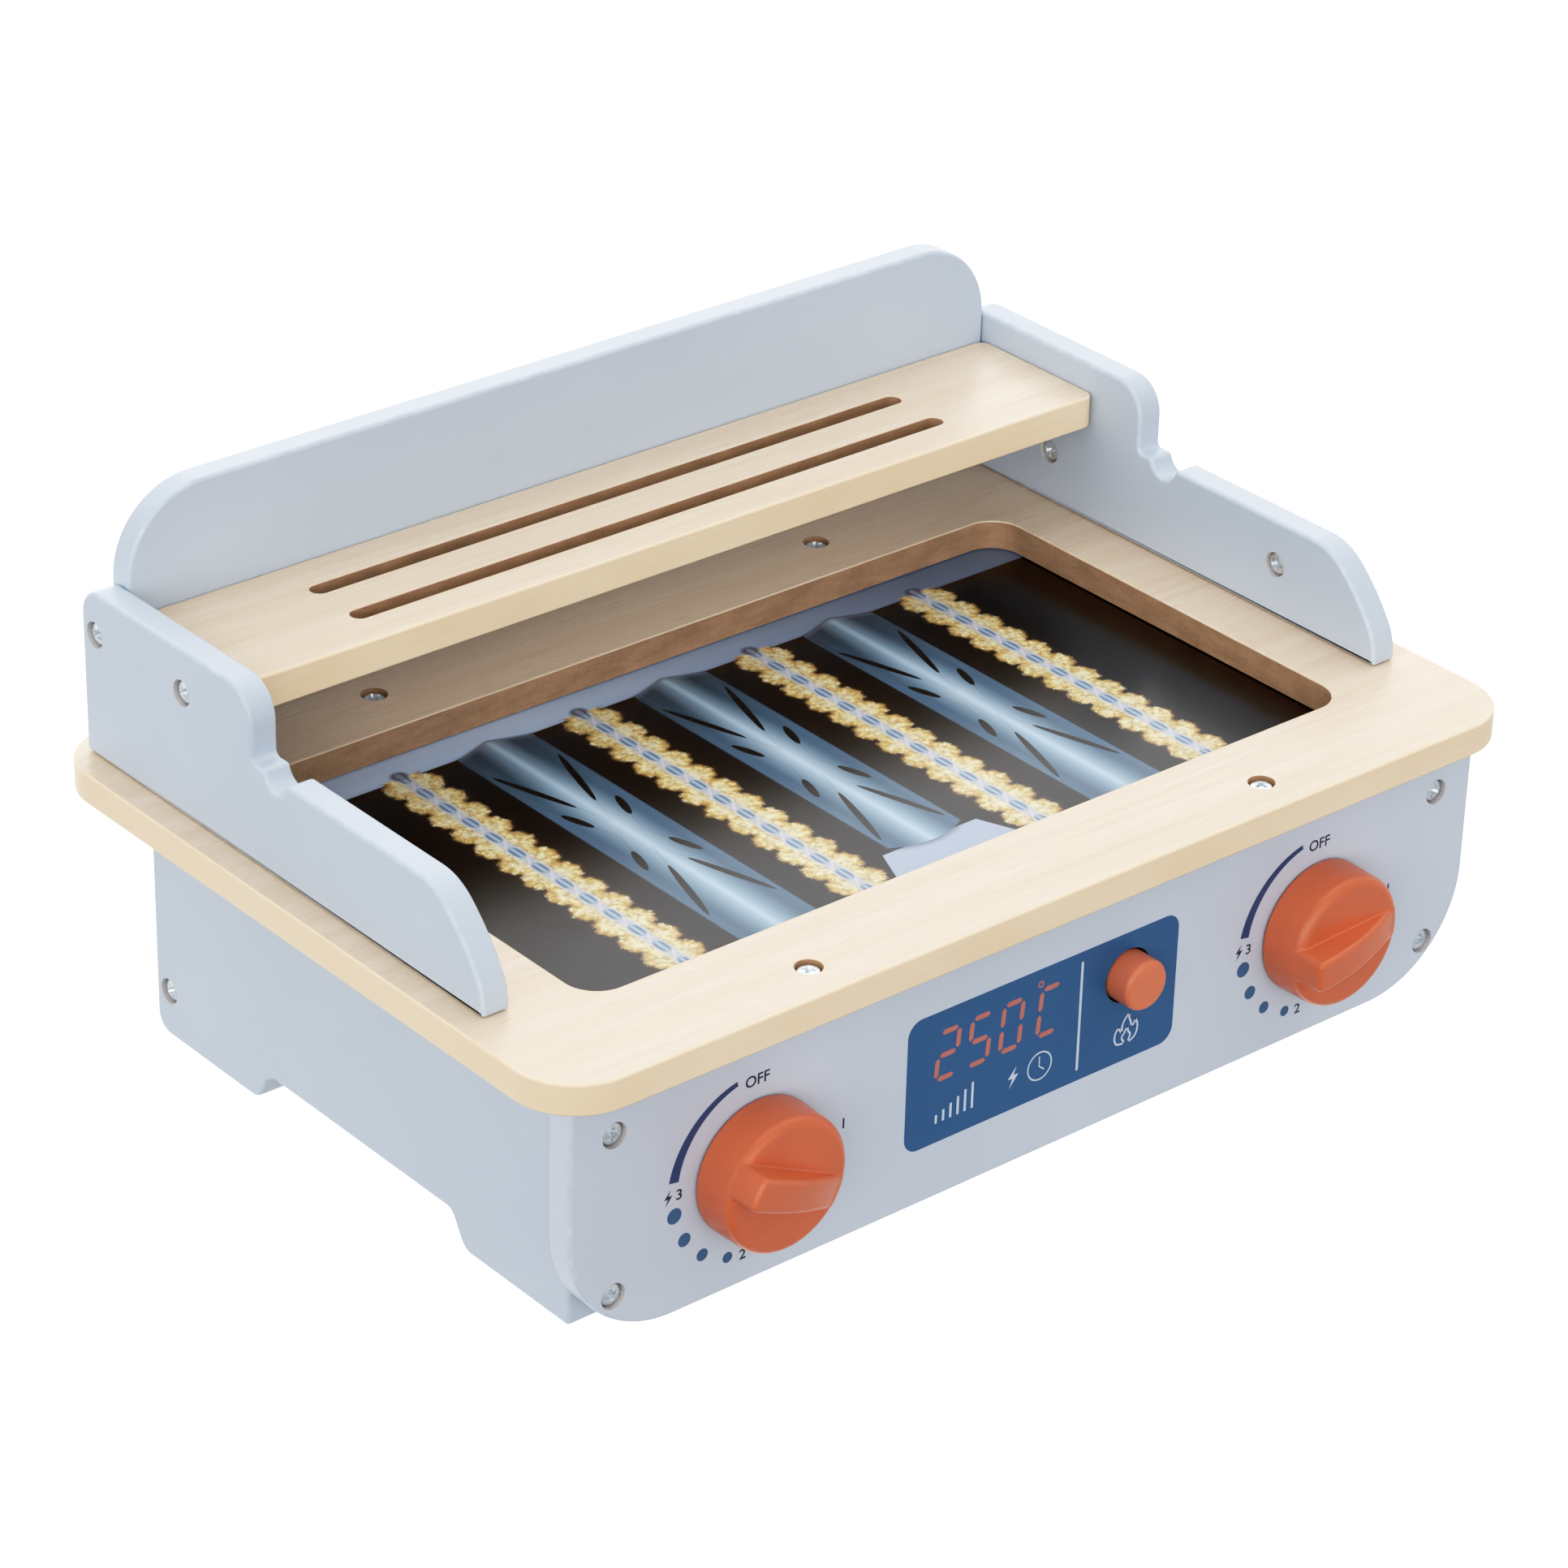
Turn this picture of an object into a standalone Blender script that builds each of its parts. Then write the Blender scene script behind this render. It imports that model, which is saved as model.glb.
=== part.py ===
"""Toy barbecue grill for a child's table: a laminated worktop frame over a printed
burner board, a painted lower box with two turning knobs and a push button, and an
upper surround of two profiled sides, a backboard and a slotted shelf.

Design coordinates are millimetres: x to the right, y from the worktop's front edge
to the back, z up from the surface that the toy stands on.  The scene is in metres,
with its origin under the middle of the whole object."""

import math

import bmesh
import bpy
from mathutils import Matrix, Vector

MM = 0.001

# ---------------------------------------------------------------- dimensions (mm)
GAP = 0.3            # clearance kept between pieces that touch

WORKTOP_W = 350.0
WORKTOP_D = 236.0
WORKTOP_T = 9.45
WORKTOP_Z = 78.03    # underside
WORKTOP_R = 20.0     # corner radius
TOP_Z = WORKTOP_Z + WORKTOP_T

CUT_X = 138.4        # half width of the basin cut-out
CUT_Y0, CUT_Y1 = 35.5, 186.5
CUT_R = 10.3

PANEL_INSET = 8.93   # front panel's face behind the worktop's front edge
PANEL_T = 9.2
PANEL_HALF = 165.3
PANEL_R = 35.0       # bottom corners of the front panel

SIDE_X = 158.3       # outer face of the lower sides
SIDE_T = 12.0
SIDE_LIFT = 2.5      # the sides' feet stay this far above the ground
SIDE_Y1 = 209.7
ARCH_H = 10.1        # height of the arch over the feet
ARCH_Y0, ARCH_Y1 = 63.9, 160.0

BACK_T = 9.1

UPPER_X = 166.7      # outer face of the upper sides
UPPER_T = 8.9
UPPER_Y0, UPPER_Y1 = 43.9, 227.6
UPPER_TOP = 139.2    # top of the high part
UPPER_LOW = 118.3    # top of the low part
STEP_Y = 146.3       # vertical step between the two heights
NOTCH_Y, NOTCH_Z, NOTCH_R = 135.4, 118.8, 5.1

BACKBOARD_Y = 217.5
BACKBOARD_T = 8.5
BACKBOARD_TOP = 165.45
BACKBOARD_R = 26.0

SHELF_Y0 = 165.8
SHELF_TOP = 130.3
SHELF_T = 10.2
SLOT_HALF = 108.5
SLOT_W = 6.0
SLOT_YS = (181.2, 200.4)

TRAY_T = 3.0
CLEAT = 10.0

KNOB_X = 103.45
KNOB_Z = 36.6
KNOB_R = 20.6        # at the back; the wall tapers to the front
KNOB_FRONT_R = 20.25
KNOB_FACE = 14.6     # flat face in front of the panel
KNOB_HIGH = 23.5     # grip's high end
KNOB_LOW = 13.2      # grip's low end, where it runs into the rounded rim
KNOB_ARCH = 2.6      # rise of the grip's top over a straight line
KNOB_GRIP_HALF = 4.9
KNOB_BACK = 0.6      # air behind the knob
KNOB_ANGLES = {"left": 154.0, "right": 182.5}   # where the high end points, from +x

BUTTON_X, BUTTON_Z = 30.5, 45.85
BUTTON_R = 7.7
BUTTON_PROUD = 8.1
BUTTON_HOLE_R = 8.4

PEG_R, PEG_LEN = 4.0, 8.0
PEG_YS = (86.3, 185.3)
PEG_Z = 104.2

HEAD_R, HEAD_H = 3.4, 2.3
SHANK_R = 1.5
BORE_R = 3.8         # counterbore
SINK = 1.1           # a head's top below the surface

OVERHANG_Y = KNOB_HIGH - PANEL_INSET
Y_MID = (WORKTOP_D - OVERHANG_Y) / 2

# ------------------------------------------------------------------- materials
PAINT = ("painted_panel", (0.56, 0.63, 0.71), 0.38, 0.0)
PAINT_FRONT = ("painted_front", (0.53, 0.59, 0.68), 0.38, 0.0)
MAPLE = ("maple_laminate", (0.83, 0.70, 0.52), 0.45, 0.0)
RAW = ("raw_board", (0.42, 0.27, 0.17), 0.85, 0.0)
PRINT = ("printed_board", (0.05, 0.04, 0.04), 0.35, 0.0)
ORANGE = ("orange_plastic", (0.70, 0.13, 0.05), 0.32, 0.0)
STEEL = ("zinc_steel", (0.72, 0.73, 0.74), 0.28, 1.0)
SPRING = ("spring_steel", (0.60, 0.60, 0.60), 0.30, 1.0)
WHITE_PLASTIC = ("white_plastic", (0.80, 0.80, 0.78), 0.45, 0.0)
BEECH = ("beech", (0.70, 0.50, 0.30), 0.50, 0.0)


def material(name, spec):
    kind, colour, rough, metal = spec
    mat = bpy.data.materials.new(f"{kind}.{name}")
    mat.use_nodes = True
    shader = mat.node_tree.nodes["Principled BSDF"]
    shader.inputs["Base Color"].default_value = (*colour, 1.0)
    shader.inputs["Roughness"].default_value = rough
    shader.inputs["Metallic"].default_value = metal
    mat.diffuse_color = (*colour, 1.0)
    return mat


# ------------------------------------------------------------------ placement
def place(x, y, z):
    """Design millimetres to the scene's metres."""
    return Vector((x * MM, (y - Y_MID) * MM, z * MM))


def put(name, mesh, spec, at, rotation=None, parent=None):
    obj = bpy.data.objects.new(name, mesh)
    bpy.context.scene.collection.objects.link(obj)
    if spec is not None:
        # The slot belongs to the object, so pieces with one mesh keep their own material.
        if not mesh.materials:
            mesh.materials.append(None)
        obj.material_slots[0].link = "OBJECT"
        obj.material_slots[0].material = material(name, spec)
    obj.location = at
    if rotation is not None:
        obj.rotation_euler = rotation
    if parent is not None:
        obj.parent = parent
    return obj


def finish(mesh, angle=35.0):
    mesh.shade_smooth()
    mesh.set_sharp_from_angle(angle=math.radians(angle))
    return mesh


# ------------------------------------------------------------------- outlines
def arc(cx, cy, r, a0, a1, steps):
    """Points on a circle from angle a0 to a1 in degrees, both ends kept."""
    return [
        (
            cx + r * math.cos(math.radians(a0 + (a1 - a0) * i / steps)),
            cy + r * math.sin(math.radians(a0 + (a1 - a0) * i / steps)),
        )
        for i in range(steps + 1)
    ]


def rounded(x0, y0, x1, y1, radii, steps=8):
    """A rectangle, counter-clockwise, with radii for its (x0,y0) (x1,y0) (x1,y1) (x0,y1) corners."""
    corners = ((x0, y0, 180), (x1, y0, 270), (x1, y1, 0), (x0, y1, 90))
    points = []
    for (x, y, start), r in zip(corners, radii):
        if r <= 0:
            points.append((x, y))
            continue
        cx = x + r if x == x0 else x - r
        cy = y + r if y == y0 else y - r
        points += arc(cx, cy, r, start, start + 90, max(3, round(steps * max(r, 8) / 20)))
    return points


def chain(start, heading, parts, step=3.0):
    """A path of tangent arcs and straights: parts are (radius, turn in degrees) or ("line", length)."""
    x, y = start
    points = [start]
    for radius, turn in parts:
        if radius == "line":
            x += turn * math.cos(math.radians(heading))
            y += turn * math.sin(math.radians(heading))
            points.append((x, y))
            continue
        side = 1 if turn > 0 else -1
        cx = x - side * radius * math.sin(math.radians(heading))
        cy = y + side * radius * math.cos(math.radians(heading))
        count = max(3, round(abs(math.radians(turn)) * radius / step))
        for i in range(1, count + 1):
            a = heading + turn * i / count
            points.append(
                (
                    cx + side * radius * math.sin(math.radians(a)),
                    cy - side * radius * math.cos(math.radians(a)),
                )
            )
        heading += turn
        x, y = points[-1]
    return points


def tidy(points, least=0.05):
    """Drops points that repeat the one before."""
    kept = []
    for p in points:
        if not kept or math.hypot(p[0] - kept[-1][0], p[1] - kept[-1][1]) > least:
            kept.append(p)
    if math.hypot(kept[0][0] - kept[-1][0], kept[0][1] - kept[-1][1]) <= least:
        kept.pop()
    return kept


# --------------------------------------------------------------------- solids
AXES = {  # local u, local v, local thickness
    "flat": (Vector((1, 0, 0)), Vector((0, 1, 0)), Vector((0, 0, 1))),
    "front": (Vector((1, 0, 0)), Vector((0, 0, 1)), Vector((0, 1, 0))),
    "side": (Vector((0, 1, 0)), Vector((0, 0, 1)), Vector((1, 0, 0))),
}


def plate_mesh(name, outline, thickness, plane):
    """An outline in mm, extruded by its thickness along the plane's normal."""
    u, v, w = AXES[plane]
    bm = bmesh.new()
    verts = [bm.verts.new((u * a + v * b) * MM) for a, b in tidy(outline)]
    face = bm.faces.new(verts)
    out = bmesh.ops.extrude_face_region(bm, geom=[face])
    moved = [g for g in out["geom"] if isinstance(g, bmesh.types.BMVert)]
    bmesh.ops.translate(bm, verts=moved, vec=w * thickness * MM)
    bmesh.ops.recalc_face_normals(bm, faces=bm.faces)
    mesh = bpy.data.meshes.new(name)
    bm.to_mesh(mesh)
    bm.free()
    return finish(mesh)


def turned_mesh(name, profile, steps):
    """A closed solid turned about local Z from (radius, height) points in mm."""
    bm = bmesh.new()
    rings = []
    for r, z in profile:
        if r <= 1e-6:
            rings.append([bm.verts.new((0, 0, z * MM))])
        else:
            rings.append(
                [
                    bm.verts.new(
                        (
                            r * MM * math.cos(2 * math.pi * i / steps),
                            r * MM * math.sin(2 * math.pi * i / steps),
                            z * MM,
                        )
                    )
                    for i in range(steps)
                ]
            )
    for low, high in zip(rings, rings[1:]):
        for i in range(steps):
            j = (i + 1) % steps
            if len(low) == 1:
                bm.faces.new((low[0], high[i], high[j]))
            elif len(high) == 1:
                bm.faces.new((low[i], low[j], high[0]))
            else:
                bm.faces.new((low[i], low[j], high[j], high[i]))
    bmesh.ops.recalc_face_normals(bm, faces=bm.faces)
    mesh = bpy.data.meshes.new(name)
    bm.to_mesh(mesh)
    bm.free()
    return finish(mesh)


def ring_mesh(name, inner, outer, height, steps):
    """A flat ring about local Z, from z = 0 up."""
    profile = [(inner, 0), (outer, 0), (outer, height), (inner, height)]
    bm = bmesh.new()
    loops = []
    for r, z in profile:
        loops.append(
            [
                bm.verts.new(
                    (
                        r * MM * math.cos(2 * math.pi * i / steps),
                        r * MM * math.sin(2 * math.pi * i / steps),
                        z * MM,
                    )
                )
                for i in range(steps)
            ]
        )
    for k in range(len(loops)):
        a, b = loops[k], loops[(k + 1) % len(loops)]
        for i in range(steps):
            j = (i + 1) % steps
            bm.faces.new((a[i], a[j], b[j], b[i]))
    bmesh.ops.remove_doubles(bm, verts=bm.verts, dist=1e-7)
    bmesh.ops.recalc_face_normals(bm, faces=bm.faces)
    mesh = bpy.data.meshes.new(name)
    bm.to_mesh(mesh)
    bm.free()
    return finish(mesh)


TOWARDS = {  # rotation that turns local +Z to the named direction
    "+z": Matrix.Identity(4),
    "-z": Matrix.Rotation(math.pi, 4, "X"),
    "-y": Matrix.Rotation(math.pi / 2, 4, "X"),
    "+y": Matrix.Rotation(-math.pi / 2, 4, "X"),
    "+x": Matrix.Rotation(math.pi / 2, 4, "Y"),
    "-x": Matrix.Rotation(-math.pi / 2, 4, "Y"),
}


def cutter(name, pieces, origin):
    """One hidden mesh of separate closed bodies, each (outline or profile, kind, position, direction)."""
    bm = bmesh.new()
    for kind, shape, at, towards in pieces:
        if kind == "turned":
            part = turned_mesh("cut", shape, 14)
        elif kind == "wide":
            part = turned_mesh("cut", shape, 36)
        else:
            part = plate_mesh("cut", shape, kind, towards)
        if kind in ("turned", "wide"):
            part.transform(TOWARDS[towards])
        part.transform(Matrix.Translation(place(*at) - origin))
        bm.from_mesh(part)
        bpy.data.meshes.remove(part)
    mesh = bpy.data.meshes.new(name)
    bm.to_mesh(mesh)
    bm.free()
    obj = bpy.data.objects.new(name, mesh)
    bpy.context.scene.collection.objects.link(obj)
    obj.location = origin
    obj.hide_render = True
    obj.display_type = "WIRE"
    return obj


def cut(obj, name, pieces):
    tool = cutter(name, pieces, obj.location.copy())
    mod = obj.modifiers.new(name, "BOOLEAN")
    mod.operation = "DIFFERENCE"
    mod.solver = "EXACT"
    mod.object = tool
    return mod


def soften(obj, width, segments=2):
    mod = obj.modifiers.new("soft_edges", "BEVEL")
    mod.width = width * MM
    mod.segments = segments
    mod.limit_method = "ANGLE"
    mod.angle_limit = math.radians(50)
    mod.use_clamp_overlap = False
    mod.miter_outer = "MITER_ARC"
    return mod


# --------------------------------------------------------------------- screws
def screw_mesh(name, length):
    """A pan-head wood screw along local -Z: the head's rim lies at z = 0, its cross recess opens up."""
    dome = 0.55
    profile = [(0.0, -HEAD_H - length), (SHANK_R, -HEAD_H - length + 3.8)]
    profile += [(SHANK_R, -HEAD_H), (HEAD_R, -HEAD_H), (HEAD_R, -0.6), (HEAD_R - 0.75, 0.05)]
    profile += [(0.0, dome)]
    mesh = turned_mesh(name, profile, 14)
    # cross recess: two crossed tapered blades pulled out of the head
    bm = bmesh.new()
    for turn in (0.0, math.pi / 2):
        top, low, half = 2.2, 1.1, 0.42
        z_top, z_low = dome + 0.4, -1.5
        spin = Matrix.Rotation(turn + 0.35, 4, "Z")
        corners = [
            (-low, -half * 0.7, z_low), (low, -half * 0.7, z_low), (low, half * 0.7, z_low), (-low, half * 0.7, z_low),
            (-top, -half, z_top), (top, -half, z_top), (top, half, z_top), (-top, half, z_top),
        ]
        v = [bm.verts.new(spin @ Vector(c) * MM) for c in corners]
        for q in ((3, 2, 1, 0), (4, 5, 6, 7), (0, 1, 5, 4), (1, 2, 6, 5), (2, 3, 7, 6), (3, 0, 4, 7)):
            bm.faces.new([v[i] for i in q])
    tool = bpy.data.meshes.new(name + "_recess")
    bm.to_mesh(tool)
    bm.free()
    return mesh, tool


class Screws:
    """Each length is modelled once; every screw is an object of its own with that mesh."""

    def __init__(self):
        self.made = {}

    def mesh(self, length):
        if length not in self.made:
            mesh, tool = screw_mesh(f"screw_{length:g}", length)
            body = bpy.data.objects.new("screw_body", mesh)
            recess = bpy.data.objects.new("screw_recess", tool)
            for o in (body, recess):
                bpy.context.scene.collection.objects.link(o)
            mod = body.modifiers.new("recess", "BOOLEAN")
            mod.operation = "DIFFERENCE"
            mod.solver = "EXACT"
            mod.use_self = True
            mod.object = recess
            graph = bpy.context.evaluated_depsgraph_get()
            done = bpy.data.meshes.new_from_object(body.evaluated_get(graph))
            done.name = f"screw_{length:g}_mm"
            for o in (body, recess):
                bpy.data.objects.remove(o)
            self.made[length] = finish(done, 40)
        return self.made[length]

    def add(self, name, length, at, towards, spec=STEEL, parent=None, roll=0.0):
        turn = TOWARDS[towards] @ Matrix.Rotation(math.radians(roll), 4, "Z")
        return put(name, self.mesh(length), spec, place(*at), turn.to_euler(), parent)


def bore(depth=SINK + HEAD_H + 0.3, through=60.0, clear=SHANK_R + 0.35):
    """Counterbore with a clearance hole below it, mouth at local z = 0 opening to +Z."""
    return [(0, -through), (clear, -through), (clear, -depth), (BORE_R, -depth), (BORE_R, 3.0), (0, 3.0)]


def pilot(length):
    """Blind pilot hole, mouth at local z = 0 opening to +Z."""
    r = SHANK_R + 0.2
    return [(0, -length), (r, -length), (r, 2.0), (0, 2.0)]


# ----------------------------------------------------------------- the scene
def clear_scene():
    for obj in list(bpy.data.objects):
        bpy.data.objects.remove(obj)


def upper_outline():
    """Side profile in (y, z): low front with a convex nose, a round notch, a step and the high rear part."""
    z0 = TOP_Z + GAP
    points = [(UPPER_Y0, z0)]
    # nose: nearly upright, then a long flat curve, then round to level
    nose = chain((UPPER_Y0, z0 + 1.5), 90.0, [(15.0, -35.0), (62.0, -17.0), (20.4, -38.0)], 2.2)
    rise = UPPER_LOW - nose[-1][1]
    scale = (UPPER_LOW - (z0 + 1.5)) / (nose[-1][1] - (z0 + 1.5))
    points += [(y, (z - z0 - 1.5) * scale + z0 + 1.5) for y, z in nose]
    lip = 1.7
    # rounded lip into the notch, the notch, and its rear lip
    reach = math.sqrt((NOTCH_R + lip) ** 2 - (NOTCH_Z - (UPPER_LOW - lip)) ** 2)
    turn = math.degrees(math.atan2(UPPER_LOW - lip - NOTCH_Z, -reach)) % 360
    points += arc(NOTCH_Y - reach, UPPER_LOW - lip, lip, 90, turn - 180, 3)
    points += arc(NOTCH_Y, NOTCH_Z, NOTCH_R, turn, 540 - turn, 14)[1:-1]
    points += arc(NOTCH_Y + reach, UPPER_LOW - lip, lip, 360 - turn, 90, 3)
    # inner corner at the foot of the step
    foot = 1.6
    points += [(y, z) for y, z in arc(STEP_Y - foot, UPPER_LOW + foot, foot, 270, 360, 3)]
    points += arc(STEP_Y + 10.8, UPPER_TOP - 10.8, 10.8, 180, 90, 8)
    points += arc(UPPER_Y1 - 8.0, UPPER_TOP - 8.0, 8.0, 90, 0, 6)
    points.append((UPPER_Y1, z0))
    points.reverse()
    return points


def lower_outline():
    """Lower side in (y, z): two feet with an arch between them."""
    y0 = PANEL_INSET + PANEL_T + GAP
    z0, z1 = SIDE_LIFT, WORKTOP_Z - GAP
    rear = chain((ARCH_Y0 - 3.0, z0), 0.0, [(6.0, 56.0), ("line", 4.6), (4.2, -56.0)], 1.6)
    # the foot's end is an S: both of its bends keep the same height on each side
    top = rear[-1][1]
    rear = [(y, z0 + (z - z0) * ARCH_H / (top - z0)) for y, z in rear]
    span = ARCH_Y0 - 3.0 + ARCH_Y1 + 3.0
    front = [(span - y, z) for y, z in reversed(rear)]
    points = [(y0, z0)] + rear + front
    points += arc(SIDE_Y1 - 6.0, z0 + 6.0, 6.0, 270, 360, 5)
    points += [(SIDE_Y1, z1), (y0, z1)]
    return points


def knob_mesh():
    """Round knob about local Z, back at z = 0, with a flat face and a wedge-shaped grip whose high end is at +X.

    The grip is the same cylinder carried on up to a sloping, slightly arched top."""
    back = KNOB_BACK
    face = KNOB_FACE - back
    rim = 2.2
    profile = [(0, 0), (KNOB_R - 0.4, 0), (KNOB_R, 0.4)]
    profile += [(KNOB_FRONT_R - rim + rim * math.cos(math.radians(a)), face - rim + rim * math.sin(math.radians(a))) for a in (0, 22.5, 45, 67.5, 90)]
    profile += [(0, face)]
    disc = turned_mesh("knob_disc", profile, 56)

    # grip: outline in (x, z), extruded across and cut round by the cylinder
    high, low = KNOB_HIGH - back, KNOB_LOW - back
    steps = 14
    top = []
    for i in range(steps + 1):
        t = -1 + 2 * i / steps
        top.append((t * KNOB_R, low + (high - low) * (t + 1) / 2 + KNOB_ARCH * (1 - t * t)))
    outline = [(-KNOB_R, 2.0), (KNOB_R, 2.0)] + list(reversed(top))
    bm = bmesh.new()
    verts = [bm.verts.new(Vector((x, -KNOB_GRIP_HALF, z)) * MM) for x, z in outline]
    f = bm.faces.new(verts)
    out = bmesh.ops.extrude_face_region(bm, geom=[f])
    moved = [g for g in out["geom"] if isinstance(g, bmesh.types.BMVert)]
    bmesh.ops.translate(bm, verts=moved, vec=Vector((0, 2 * KNOB_GRIP_HALF * MM, 0)))
    bmesh.ops.recalc_face_normals(bm, faces=bm.faces)
    grip = bpy.data.meshes.new("knob_grip")
    bm.to_mesh(grip)
    bm.free()

    tall = turned_mesh("knob_tall", [(0, 1), (KNOB_FRONT_R - 0.1, 1), (KNOB_FRONT_R - 0.1, high + 8), (0, high + 8)], 48)
    hub = turned_mesh("knob_hub", [(0, -PANEL_T - back - 1.2), (3.8, -PANEL_T - back - 1.2), (3.8, 1.0), (0, 1.0)], 24)
    hole = turned_mesh("knob_hole", [(0, -PANEL_T - back - 3), (SHANK_R + 0.2, -PANEL_T - back - 3), (SHANK_R + 0.2, 4.0), (0, 4.0)], 16)

    objs = {n: bpy.data.objects.new(n, m) for n, m in (("disc", disc), ("grip", grip), ("tall", tall), ("hub", hub), ("hole", hole))}
    for o in objs.values():
        bpy.context.scene.collection.objects.link(o)

    def join(base, operation, other):
        mod = base.modifiers.new(operation, "BOOLEAN")
        mod.operation = operation
        mod.solver = "EXACT"
        mod.object = other
        return mod

    join(objs["grip"], "INTERSECT", objs["tall"])
    soft = objs["grip"].modifiers.new("soft", "BEVEL")
    soft.width = 1.3 * MM
    soft.segments = 3
    soft.limit_method = "ANGLE"
    soft.angle_limit = math.radians(40)
    soft.use_clamp_overlap = False
    join(objs["disc"], "UNION", objs["grip"])
    join(objs["disc"], "UNION", objs["hub"])
    join(objs["disc"], "DIFFERENCE", objs["hole"])
    graph = bpy.context.evaluated_depsgraph_get()
    done = bpy.data.meshes.new_from_object(objs["disc"].evaluated_get(graph))
    done.name = "knob"
    for o in objs.values():
        bpy.data.objects.remove(o)
    return finish(done, 38)


def coil_mesh(name, wire, radius, length, turns, around=6, per_turn=18):
    """A helical spring about local Z from z = 0 up, its wire's ends closed flat."""
    bm = bmesh.new()
    count = int(turns * per_turn)
    rings = []
    for i in range(count + 1):
        t = i / count
        a = 2 * math.pi * turns * t
        z = wire + (length - 2 * wire) * t
        centre = Vector((radius * math.cos(a), radius * math.sin(a), z))
        along = Vector((-radius * math.sin(a) * 2 * math.pi * turns, radius * math.cos(a) * 2 * math.pi * turns, length - 2 * wire)).normalized()
        outward = Vector((math.cos(a), math.sin(a), 0))
        up = along.cross(outward).normalized()
        rings.append(
            [
                bm.verts.new((centre + (outward * math.cos(2 * math.pi * k / around) + up * math.sin(2 * math.pi * k / around)) * wire) * MM)
                for k in range(around)
            ]
        )
    for a, b in zip(rings, rings[1:]):
        for k in range(around):
            m = (k + 1) % around
            bm.faces.new((a[k], a[m], b[m], b[k]))
    bm.faces.new(rings[0])
    bm.faces.new(rings[-1])
    bmesh.ops.recalc_face_normals(bm, faces=bm.faces)
    mesh = bpy.data.meshes.new(name)
    bm.to_mesh(mesh)
    bm.free()
    return finish(mesh, 50)


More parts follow.
